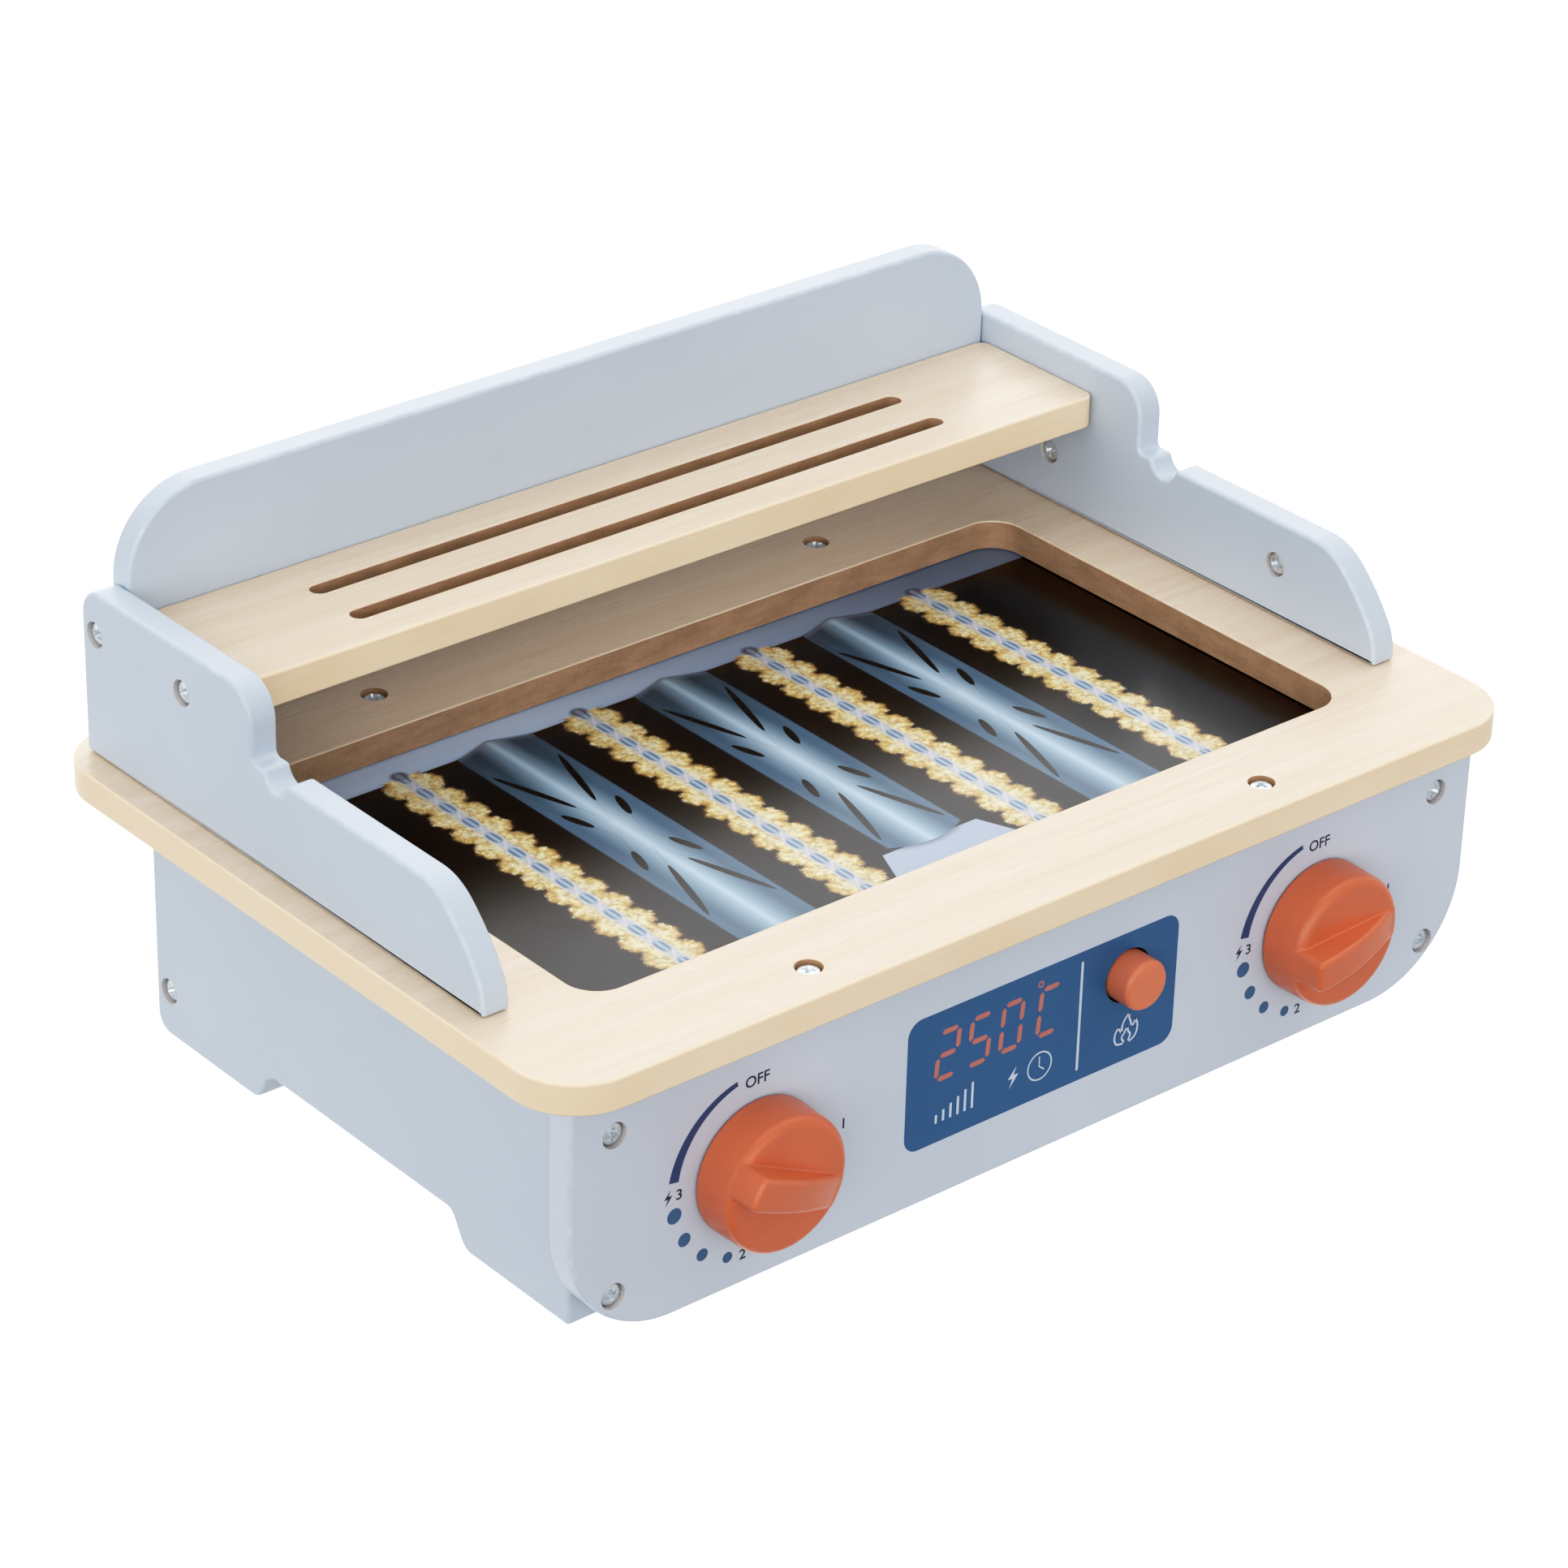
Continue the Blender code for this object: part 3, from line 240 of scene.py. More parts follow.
def edge_band(name):
    """Tan edge tape, nearly plain: slow clouding and a faint grain along the board."""
    t = Tree(name)
    x, y, z = t.xyz()
    run = t.noise(t.vec(t.math("MULTIPLY", x, 30.0), t.math("MULTIPLY", y, 30.0), t.math("MULTIPLY", z, 1500.0)), 1.0, 3.0, 0.6)
    speck = t.noise(t.scaled(1, 1, 1), 900.0, 2.0, 0.5)
    cloud = t.noise(t.scaled(22, 22, 40), 1.0, 2.0, 0.5)
    base = t.mix(t.span(cloud, 0.3, 0.7), lin(247, 221, 187), lin(252, 230, 198))
    base = t.mix(t.math("MULTIPLY", t.span(run, 0.45, 0.75), 0.16), base, lin(224, 196, 154))
    base = t.mix(t.math("MULTIPLY", t.span(speck, 0.5, 0.8), 0.10), base, lin(248, 234, 206))
    # lighter band on the arrises: rubbed wear, partly a painted highlight
    base = t.mix(worn_and_highlit(t, 0.25), base, lin(248, 236, 210))
    t.set(Base_Color=base, Roughness=t.span(cloud, 0.3, 0.7, 0.36, 0.44))
    t.bsdf.inputs["Specular IOR Level"].default_value = 0.45
    t.set(Normal=t.bump(run, 0.00002, 0.2))
    return t.mat


def fibreboard(name, shade=1.0, dark=(158, 125, 95), light=(185, 150, 118), soft=(205, 172, 140)):
    """Bare routed fibreboard: felted fibre, faint cutter chatter, darker hard skins."""
    t = Tree(name)
    felt = t.noise(t.scaled(1, 1, 1.6), 1500.0, 4.0, 0.7)
    blot = t.noise(t.scaled(1, 1, 3.0), 90.0, 3.0, 0.6)
    chatter = t.noise(t.scaled(300, 300, 24), 1.0, 1.0, 0.5)
    dark, light, soft = (tuple(c * shade for c in lin(*k)) for k in (dark, light, soft))
    base = t.mix(t.span(blot, 0.3, 0.7), dark, light)
    base = t.mix(t.math("MULTIPLY", t.span(felt, 0.4, 0.7), 0.40), base, soft)
    base = t.mix(t.math("MULTIPLY", t.span(chatter, 0.5, 0.8), 0.12), base, tuple(c * 0.75 for c in dark))
    # lighter fibre on the arrises: rubbed wear, partly a painted highlight
    base = t.mix(worn_and_highlit(t, 0.5), base, tuple(min(1.0, c * 1.12) for c in soft))
    t.set(Base_Color=base, Roughness=t.span(felt, 0.3, 0.7, 0.78, 0.92))
    t.bsdf.inputs["Specular IOR Level"].default_value = 0.2
    n1 = t.bump(felt, 0.00010, 0.4)
    t.set(Normal=t.bump(chatter, 0.00004, 0.3, n1))
    return t.mat


def plastic(name, colour, rough=0.30, wear_and_highlight=0.25):
    """Moulded plastic with a fine spark texture, slight flow variation and lighter edges, rubbed wear with a painted
    highlight.
    """
    t = Tree(name)
    cloud = t.noise(t.scaled(1, 1, 1), 70.0, 2.0, 0.5)
    spark = t.noise(t.scaled(1, 1, 1), 2600.0, 2.0, 0.5)
    base = t.mix(t.span(cloud, 0.3, 0.7), tuple(c * 0.96 for c in colour), tuple(min(1, c * 1.04) for c in colour))
    # lighter edges: rubbed wear with a painted highlight
    base = t.mix(worn_and_highlit(t, wear_and_highlight), base, tuple(min(1.0, c * 1.18 + 0.02) for c in colour))
    t.set(Base_Color=base, Roughness=t.span(t.noise(t.scaled(1, 1, 1), 160.0, 3.0, 0.5), 0.3, 0.7, rough - 0.04, rough + 0.06))
    t.bsdf.inputs["Specular IOR Level"].default_value = 0.5
    t.set(Normal=t.bump(spark, 0.00002, 0.25))
    return t.mat


def zinc(name):
    """Bright zinc plate: cool tint, light blotches and fine tumbling marks."""
    t = Tree(name)
    blot = t.noise(t.scaled(1, 1, 1), 900.0, 3.0, 0.6)
    scratch = t.noise(t.scaled(700, 4200, 700), 1.0, 2.0, 0.6)
    base = t.mix(t.span(blot, 0.3, 0.7), lin(226, 235, 242), lin(242, 247, 251))
    t.set(Base_Color=base, Roughness=t.span(blot, 0.3, 0.7, 0.32, 0.46))
    t.bsdf.inputs["Metallic"].default_value = 1.0
    t.set(Normal=t.bump(scratch, 0.00003, 0.3))
    return t.mat


def spring_wire(name):
    t = Tree(name)
    draw = t.noise(t.scaled(900, 4000, 900), 1.0, 2.0, 0.6)
    t.set(Base_Color=t.mix(t.span(draw, 0.3, 0.7), lin(150, 150, 150), lin(200, 200, 198)), Roughness=t.span(draw, 0.3, 0.7, 0.22, 0.36))
    t.bsdf.inputs["Metallic"].default_value = 1.0
    t.set(Normal=t.bump(draw, 0.00002, 0.3))
    return t.mat


def beech(name, axis="x"):
    """Beech with short dark flecks along the grain and a thin lacquer."""
    t = Tree(name)
    s = {"x": (60, 900, 900), "y": (900, 60, 900)}[axis]
    f = {"x": (420, 2600, 2600), "y": (2600, 420, 2600)}[axis]
    grain = t.noise(t.scaled(*s), 1.0, 3.0, 0.6)
    fleck = t.noise(t.scaled(*f), 1.0, 1.0, 0.5)
    base = t.mix(t.span(grain, 0.3, 0.7), lin(226, 190, 146), lin(206, 162, 114))
    base = t.mix(t.math("MULTIPLY", t.span(fleck, 0.60, 0.72), 0.55), base, lin(150, 104, 66))
    t.set(Base_Color=base, Roughness=t.span(grain, 0.3, 0.7, 0.36, 0.5))
    t.set(Normal=t.bump(grain, 0.00004, 0.3))
    return t.mat


def ink(name, colour, rough=0.34, cloud=0.04):
    """Screen-printed ink: a slightly uneven film."""
    t = Tree(name)
    film = t.noise(t.scaled(1, 1, 1), 300.0, 3.0, 0.55)
    wide = t.noise(t.scaled(1, 1, 1), 40.0, 2.0, 0.5)
    base = t.mix(t.span(film, 0.3, 0.7), tuple(c * (1 - cloud) for c in colour), tuple(min(1, c * (1 + cloud)) for c in colour))
    base = t.mix(t.math("MULTIPLY", t.span(wide, 0.35, 0.7), 0.25), base, tuple(min(1, c * (1 + 2 * cloud)) for c in colour))
    t.set(Base_Color=base, Roughness=t.span(film, 0.3, 0.7, rough - 0.03, rough + 0.05))
    t.bsdf.inputs["Specular IOR Level"].default_value = 0.4
    t.set(Normal=t.bump(film, 0.00001, 0.2))
    return t.mat


def tray_print(name):
    """Printed burner board: dark ground, three slotted steel tubes and four rows of small flames round a wire chain."""
    t = Tree(name)
    M = t.math
    x, y, z = t.xyz()
    X = M("ADD", M("MULTIPLY", x, 1000.0), 0.2)
    Y = M("ADD", M("MULTIPLY", y, 1000.0), Y_MID)
    lump = t.noise(t.scaled(1, 1, 1), 300.0, 3.0, 0.6)
    mist = t.noise(t.scaled(1, 1, 1), 12.0, 3.0, 0.6)
    grain = t.noise(t.scaled(1, 1, 1), 1500.0, 2.0, 0.6)
    sq = lambda v: M("MULTIPLY", v, v)
    inv = lambda v: M("SUBTRACT", 1.0, v)
    times = lambda *v: v[0] if len(v) == 1 else M("MULTIPLY", v[0], times(*v[1:]))

    def lens(cx, cy, half_len, half_w, lean, px, py):
        """1 inside a slit of the given length, leaning by an angle."""
        c, s = math.cos(math.radians(lean)), math.sin(math.radians(lean))
        dx, dy = M("SUBTRACT", px, cx), M("SUBTRACT", py, cy)
        a = M("ADD", M("MULTIPLY", dx, c), M("MULTIPLY", dy, s))
        b = M("SUBTRACT", M("MULTIPLY", dy, c), M("MULTIPLY", dx, s))
        bb = sq(M("DIVIDE", b, half_len))
        width = M("MULTIPLY", M("SQRT", M("MAXIMUM", inv(bb), 0.0)), half_w)
        return t.span(M("SUBTRACT", width, M("ABSOLUTE", a)), -0.12, 0.16)

    # ---- bare rear strip, with painted shade darkening it towards the right and along the ground's edge, and dark ground
    sweep = t.noise(t.vec(M("MULTIPLY", x, 6.0), M("MULTIPLY", y, 90.0), 0.0), 1.0, 2.0, 0.5)
    pale = t.mix(t.span(sweep, 0.3, 0.7), lin(182, 206, 238), lin(196, 218, 248))
    # painted shade: the strip darkens towards the right
    pale = t.mix(M("MULTIPLY", t.span(x, -0.050, 0.100), 0.84), pale, lin(84, 106, 140))
    ground = t.mix(t.span(mist, 0.25, 0.75), lin(8, 3, 2), lin(20, 11, 8))
    ground = t.mix(M("MULTIPLY", t.span(grain, 0.45, 0.8), 0.12), ground, lin(44, 34, 30))
    on_ground = t.span(M("SUBTRACT", 174.5, Y), -0.12, 0.12)
    # painted shade: a darker band along the ground's rear edge
    pale = t.mix(M("MULTIPLY", t.span(Y, 176.0, 174.4, smooth=True), 0.18), pale, lin(70, 80, 116))

    # ---- tubes on x = 0 and +-64
    k = M("ROUND", M("DIVIDE", X, 64.0))
    k = M("MINIMUM", M("MAXIMUM", k, -1.0), 1.0)
    tx = M("SUBTRACT", X, M("MULTIPLY", k, 64.0))
    u = M("DIVIDE", tx, 13.4)
    au = M("ABSOLUTE", u)
    middle = t.span(M("ABSOLUTE", k), 0.5, 0.4)
    bell = M("POWER", M("MAXIMUM", inv(M("SQRT", M("ADD", sq(au), 0.006))), 0.0), 1.15)
    rear_end = M("ADD", 174.0, M("MULTIPLY", bell, 4.3))
    front_end = M("SUBTRACT", M("SUBTRACT", M("ADD", 61.5, M("MULTIPLY", inv(middle), -60.0)), M("MULTIPLY", inv(sq(au)), 3.6)), 0.0)
    in_tube = times(
        t.span(au, 1.012, 0.99),
        t.span(M("SUBTRACT", rear_end, Y), -0.15, 0.15),
        t.span(M("SUBTRACT", Y, front_end), -0.15, 0.15),
    )
    # along the tube: 1 at the rear, easing towards the middle
    deep = t.span(Y, 128.0, 176.0, smooth=True)
    mid_glow = t.math("POWER", M("MAXIMUM", inv(M("ABSOLUTE", M("DIVIDE", M("SUBTRACT", Y, 118.0), 34.0))), 0.0), 1.6)
    edge_tone = t.mix(deep, lin(80, 108, 134), lin(54, 70, 88))
    flank_tone = t.mix(deep, lin(58, 90, 114), lin(42, 60, 78))
    flank_tone = t.mix(M("MULTIPLY", mid_glow, 0.40), flank_tone, lin(96, 132, 160))
    light_tone = t.mix(deep, lin(172, 200, 222), lin(146, 176, 200))
    light_tone = t.mix(mid_glow, light_tone, lin(196, 216, 234))
    toward = t.span(au, 1.0, 0.36, smooth=True)
    steel = t.mix(toward, edge_tone, flank_tone)
    # the bright line widens away from the rear end
    width = M("ADD", 0.23, M("MULTIPLY", inv(deep), 0.10))
    glow = t.math("POWER", M("MAXIMUM", inv(M("DIVIDE", au, M("MULTIPLY", width, 2.2))), 0.0), 1.3)
    steel = t.mix(glow, steel, light_tone)
    steel = t.mix(M("MULTIPLY", t.span(au, 0.16, 0.0, smooth=True), 0.30), steel, lin(206, 222, 240))
    brushed = t.noise(t.vec(M("MULTIPLY", x, 900.0), M("MULTIPLY", y, 25.0), 0.0), 1.0, 3.0, 0.6)
    steel = t.mix(M("MULTIPLY", t.span(brushed, 0.4, 0.75), 0.05), steel, lin(150, 176, 198))
    steel = t.mix(M("MULTIPLY", t.span(Y, M("SUBTRACT", rear_end, 2.2), rear_end, smooth=True), 0.40), steel, lin(120, 138, 160))
    rim = times(t.span(au, 0.965, 1.0), 0.5)
    steel = t.mix(rim, steel, lin(60, 84, 108))
    # slits, mirrored left to right and front to rear
    centre = M("ADD", 111.6, M("MULTIPLY", middle, 3.2))
    side_y = M("ABSOLUTE", M("SUBTRACT", Y, centre))
    side_x = M("ABSOLUTE", tx)
    slit = lens(7.6, 34.5, 14.7, 1.15, -16.5, side_x, side_y)
    short = lens(8.1, 13.9, 5.7, 1.32, -16.5, side_x, side_y)
    steel = t.mix(M("MAXIMUM", slit, short), steel, lin(14, 10, 10))
    halo = times(t.span(au, 1.10, 1.0, smooth=True), on_ground, t.span(Y, 173.0, 170.0), 0.30)
    base = t.mix(on_ground, pale, ground)
    base = t.mix(halo, base, lin(46, 56, 70))
    # soft shade of the tube ends on the bare strip
    lip = times(t.span(M("SUBTRACT", Y, rear_end), 1.6, 0.0, smooth=True), t.span(au, 1.15, 0.95), inv(on_ground), 0.75)
    base = t.mix(lip, base, lin(52, 60, 84))

    # ---- bare label in front of the middle tube
    flare = M("ADD", 17.2, M("MULTIPLY", M("SUBTRACT", 59.3, Y), 0.42))
    plate = times(t.span(M("SUBTRACT", 59.3, Y), -0.12, 0.12), t.span(M("SUBTRACT", flare, M("ABSOLUTE", X)), -0.12, 0.12))
    sheet = t.mix(t.span(mist, 0.3, 0.7), lin(166, 182, 208), lin(178, 192, 216))
    base = t.mix(plate, base, sheet)
    shade = times(t.span(M("SUBTRACT", front_end, Y), 3.0, 0.0, smooth=True), t.span(au, 1.2, 0.7, smooth=True), plate, 0.70)
    base = t.mix(shade, base, lin(84, 104, 128))
    base = t.mix(in_tube, base, steel)

    # ---- flame rows on +-32 and +-96
    k2 = M("MINIMUM", M("MAXIMUM", M("FLOOR", M("DIVIDE", X, 64.1)), -2.0), 1.0)
    fx = M("SUBTRACT", X, M("MULTIPLY", M("ADD", k2, 0.5), 64.1))
    af = M("ABSOLUTE", fx)
    pitch = 10.62
    cell = M("DIVIDE", M("SUBTRACT", Y, 169.5), pitch)
    by = M("MULTIPLY", M("SUBTRACT", cell, M("ROUND", cell)), pitch)  # from the bead's middle
    bx = M("SUBTRACT", af, 3.5)
    reach = M("SQRT", M("ADD", sq(bx), sq(by)))
    angle = M("ARCTAN2", by, bx)
    petal = M("COSINE", M("MULTIPLY", angle, 9.0))
    ragged = M("MULTIPLY", M("SUBTRACT", lump, 0.5), 2.1)
    rim_r = M("ADD", M("ADD", 5.45, M("MULTIPLY", petal, 0.22)), ragged)
    bulge = M("MULTIPLY", M("COSINE", M("MULTIPLY", by, math.tau / pitch)), 0.9)
    core_edge = M("SUBTRACT", M("ADD", M("ADD", 7.0, bulge), M("MULTIPLY", ragged, 0.8)), af)
    depth = M("MAXIMUM", M("SUBTRACT", rim_r, reach), core_edge)
    amber = t.ramp(
        t.span(depth, -0.9, 4.2),
        [
            (0.00, lin(34, 20, 10)),
            (0.13, lin(100, 72, 36)),
            (0.27, lin(190, 158, 100)),
            (0.46, lin(222, 198, 138)),
            (0.70, lin(228, 210, 156)),
            (1.00, lin(222, 212, 176)),
        ],
    )
    rays = times(t.span(petal, -0.2, -0.9), t.span(reach, 1.6, 3.6), t.span(depth, 0.0, 0.6), 0.42)
    amber = t.mix(rays, amber, lin(176, 142, 84))
    fleck = t.noise(t.scaled(1, 1, 1), 560.0, 3.0, 0.65)
    amber = t.mix(M("MULTIPLY", t.span(fleck, 0.51, 0.64), 0.80), amber, lin(248, 240, 200))
    amber = t.mix(M("MULTIPLY", t.span(fleck, 0.49, 0.37), 0.72), amber, lin(182, 146, 78))
    crease = times(t.span(M("ABSOLUTE", by), 4.3, 5.3, smooth=True), t.span(af, 3.4, 6.5), 0.55)
    amber = t.mix(crease, amber, lin(146, 112, 62))
    # chain: pale crossed wires with steel ports in the valleys
    port_cell = M("ADD", cell, 0.5)
    py = M("MULTIPLY", M("SUBTRACT", port_cell, M("ROUND", port_cell)), pitch)
    wire = t.span(M("SUBTRACT", af, M("MULTIPLY", M("SUBTRACT", lump, 0.5), 1.3)), 2.5, 1.2)
    amber = t.mix(M("MULTIPLY", wire, 0.88), amber, lin(188, 198, 216))
    oval = M("ADD", sq(M("DIVIDE", fx, 1.85)), sq(M("DIVIDE", py, 3.3)))
    amber = t.mix(M("MULTIPLY", t.span(oval, 1.30, 0.65), 0.90), amber, lin(100, 126, 156))
    amber = t.mix(times(t.span(af, 0.75, 0.25), t.span(oval, 1.1, 0.7), 0.80), amber, lin(186, 204, 224))
    amber = t.mix(times(t.span(af, 2.7, 2.1), t.span(af, 1.3, 1.9), t.span(M("ABSOLUTE", py), 3.2, 1.4), 0.7), amber, lin(200, 208, 222))
    twist = M("ABSOLUTE", M("SUBTRACT", fx, M("MULTIPLY", by, 0.55)))
    amber = t.mix(times(t.span(twist, 0.7, 0.2), t.span(M("ABSOLUTE", by), 2.6, 1.6), 0.7), amber, lin(224, 216, 226))
    row_end = t.span(M("SUBTRACT", 175.9, Y), -0.5, 0.6)
    glow2 = times(t.span(depth, -2.6, -0.5, smooth=True), on_ground, 0.45)
    base = t.mix(glow2, base, lin(52, 28, 12))
    base = t.mix(times(t.span(depth, -0.85, 0.30), row_end), base, amber)
    # the chain's own end
    end_shade = times(t.span(M("ADD", sq(M("DIVIDE", fx, 3.4)), sq(M("DIVIDE", M("SUBTRACT", Y, 176.6), 3.0))), 1.1, 0.2, smooth=True), t.span(Y, 173.0, 175.0), 0.85)
    base = t.mix(end_shade, base, lin(64, 62, 92))
    end_tip = t.span(M("ADD", sq(M("DIVIDE", fx, 1.3)), sq(M("DIVIDE", M("SUBTRACT", Y, 176.0), 2.6))), 1.0, 0.3)
    base = t.mix(M("MULTIPLY", end_tip, 0.75), base, lin(150, 160, 184))

    # only the upper face carries the print
    up = t.node("ShaderNodeNewGeometry").outputs["Normal"]
    top = t.span(t.xyz(up)[2], 0.5, 0.6)
    fibre = t.mix(t.span(grain, 0.4, 0.7), lin(138, 98, 70), lin(170, 128, 96))
    t.set(Base_Color=t.mix(top, fibre, base), Roughness=t.span(mist, 0.3, 0.7, 0.22, 0.28))
    t.bsdf.inputs["Specular IOR Level"].default_value = 0.5
    t.set(Normal=t.bump(t.noise(t.scaled(1, 1, 1), 700.0, 2.0, 0.5), 0.00002, 0.2))
    return t.mat


PAINT = paint("lacquer", lin(198, 210, 224))
PAINT_FRONT = paint("lacquer_front", lin(206, 216, 230))
TOP_FOIL = laminate("maple_foil")
BAND = edge_band("edge_band")
RAW = fibreboard("bare_fibreboard")
# painted shade: fibreboard at a quarter of its brightness, for the shadowed clearance round the push button
RAW_PAINTED_SHADE = fibreboard("button_bore_painted_shade", 0.25)
RAW_GREY = fibreboard("overspray_fibreboard", 1.0, (186, 182, 182), (204, 201, 201), (218, 216, 216))
TRAY = tray_print("burner_print")
ORANGE = plastic("orange_plastic", lin(214, 115, 76), 0.32)
ORANGE_BUTTON = plastic("orange_button", lin(228, 131, 95), 0.40, 0.15)
WHITE = plastic("white_plastic_finish", lin(226, 226, 222), 0.4)
ZINC = zinc("zinc_plate")
WIRE = spring_wire("spring_wire")
BEECH = beech("beech_wood", "y")
PEG_WOOD = beech("peg_wood", "x")
INK_BLUE = ink("ink_display_blue", lin(50, 100, 148), 0.34, 0.03)
INK_NAVY = ink("ink_navy", lin(56, 82, 126), 0.36)
INK_DOT = ink("ink_dot_blue", lin(66, 104, 146), 0.36)
INK_GREY = ink("ink_letter", lin(44, 52, 76), 0.36)
INK_WHITE = ink("ink_white", lin(206, 220, 234), 0.36)
INK_ORANGE = ink("ink_orange", lin(196, 124, 112), 0.36)


# ============================================================== outline helpers
def arc(cx, cy, r, a0, a1, steps):
    return [
        (cx + r * math.cos(math.radians(a0 + (a1 - a0) * i / steps)), cy + r * math.sin(math.radians(a0 + (a1 - a0) * i / steps)))
        for i in range(steps + 1)
    ]


def circle(cx, cy, r, steps=48):
    return arc(cx, cy, r, 0, 360 - 360 / steps, steps - 1)


def rounded(x0, y0, x1, y1, radii, step=0.45):
    corners = ((x0, y0, 180), (x1, y0, 270), (x1, y1, 0), (x0, y1, 90))
    points = []
    for (x, y, start), r in zip(corners, radii):
        if r <= 0:
            points.append((x, y))
            continue
        cx = x + r if x == x0 else x - r
        cy = y + r if y == y0 else y - r
        points += arc(cx, cy, r, start, start + 90, max(8, min(48, round(r * math.pi / 2 / step))))
    return points


def chain(start, heading, parts, step=0.8):
    x, y = start
    points = [start]
    for radius, turn in parts:
        if radius == "line":
            x += turn * math.cos(math.radians(heading))
            y += turn * math.sin(math.radians(heading))
            points.append((x, y))
            continue
        side = 1 if turn > 0 else -1
        cx = x - side * radius * math.sin(math.radians(heading))
        cy = y + side * radius * math.cos(math.radians(heading))
        count = max(8, round(abs(math.radians(turn)) * radius / step))
        for i in range(1, count + 1):
            a = heading + turn * i / count
            points.append((cx + side * radius * math.sin(math.radians(a)), cy - side * radius * math.cos(math.radians(a))))
        heading += turn
        x, y = points[-1]
    return points


def tidy(points, least=0.02):
    kept = []
    for p in points:
        if not kept or math.hypot(p[0] - kept[-1][0], p[1] - kept[-1][1]) > least:
            kept.append(p)
    if math.hypot(kept[0][0] - kept[-1][0], kept[0][1] - kept[-1][1]) <= least:
        kept.pop()
    return kept


def area(points):
    return sum(a[0] * b[1] - b[0] * a[1] for a, b in zip(points, points[1:] + points[:1])) / 2


def ease(points, radius, limit=24.0, steps=6):
    """Rounds each corner sharper than the limit."""
    out, n = [], len(points)
    for i in range(n):
        a, b, c = points[i - 1], points[i], points[(i + 1) % n]
        l1, l2 = math.hypot(b[0] - a[0], b[1] - a[1]), math.hypot(c[0] - b[0], c[1] - b[1])
        d1, d2 = ((b[0] - a[0]) / l1, (b[1] - a[1]) / l1), ((c[0] - b[0]) / l2, (c[1] - b[1]) / l2)
        turn = math.atan2(d1[0] * d2[1] - d1[1] * d2[0], d1[0] * d2[0] + d1[1] * d2[1])
        if abs(math.degrees(turn)) < limit:
            out.append(b)
            continue
        back = min(radius * math.tan(abs(turn) / 2), 0.45 * l1, 0.45 * l2)
        r = back / math.tan(abs(turn) / 2)
        s = 1 if turn > 0 else -1
        px, py = b[0] - d1[0] * back, b[1] - d1[1] * back
        cx, cy = px - s * d1[1] * r, py + s * d1[0] * r
        a0 = math.atan2(py - cy, px - cx)
        for k in range(steps + 1):
            out.append((cx + r * math.cos(a0 + turn * k / steps), cy + r * math.sin(a0 + turn * k / steps)))
    return out


def pin(points, gap=0.3, longer=2.0):
    """Extra points near the ends of long straights, so that their normals stay true."""
    out, n = [], len(points)
    for i in range(n):
        a, b = points[i], points[(i + 1) % n]
        out.append(a)
        length = math.hypot(b[0] - a[0], b[1] - a[1])
        if length > longer:
            for s in (gap / length, 1 - gap / length):
                out.append((a[0] + (b[0] - a[0]) * s, a[1] + (b[1] - a[1]) * s))
    return out


def normals_of(points):
    """Outward normals (material on the left) and mitre lengths."""
    out, n = [], len(points)
    for i in range(n):
        a, b, c = points[i - 1], points[i], points[(i + 1) % n]
        l1, l2 = math.hypot(b[0] - a[0], b[1] - a[1]), math.hypot(c[0] - b[0], c[1] - b[1])
        n1, n2 = ((b[1] - a[1]) / l1, -(b[0] - a[0]) / l1), ((c[1] - b[1]) / l2, -(c[0] - b[0]) / l2)
        m = (n1[0] + n2[0], n1[1] + n2[1])
        k = math.hypot(*m)
        m = (m[0] / k, m[1] / k)
        out.append((m[0], m[1], 1 / max(0.5, m[0] * n1[0] + m[1] * n1[1])))
    return out


# ================================================================ shell builder
PLANES = {  # u, v, w axes, and whether (u, v, w) is left-handed
    "flat": ((1, 0, 0), (0, 1, 0), (0, 0, 1), False),
    "front": ((1, 0, 0), (0, 0, 1), (0, 1, 0), True),
    "side": ((0, 1, 0), (0, 0, 1), (1, 0, 0), False),
}


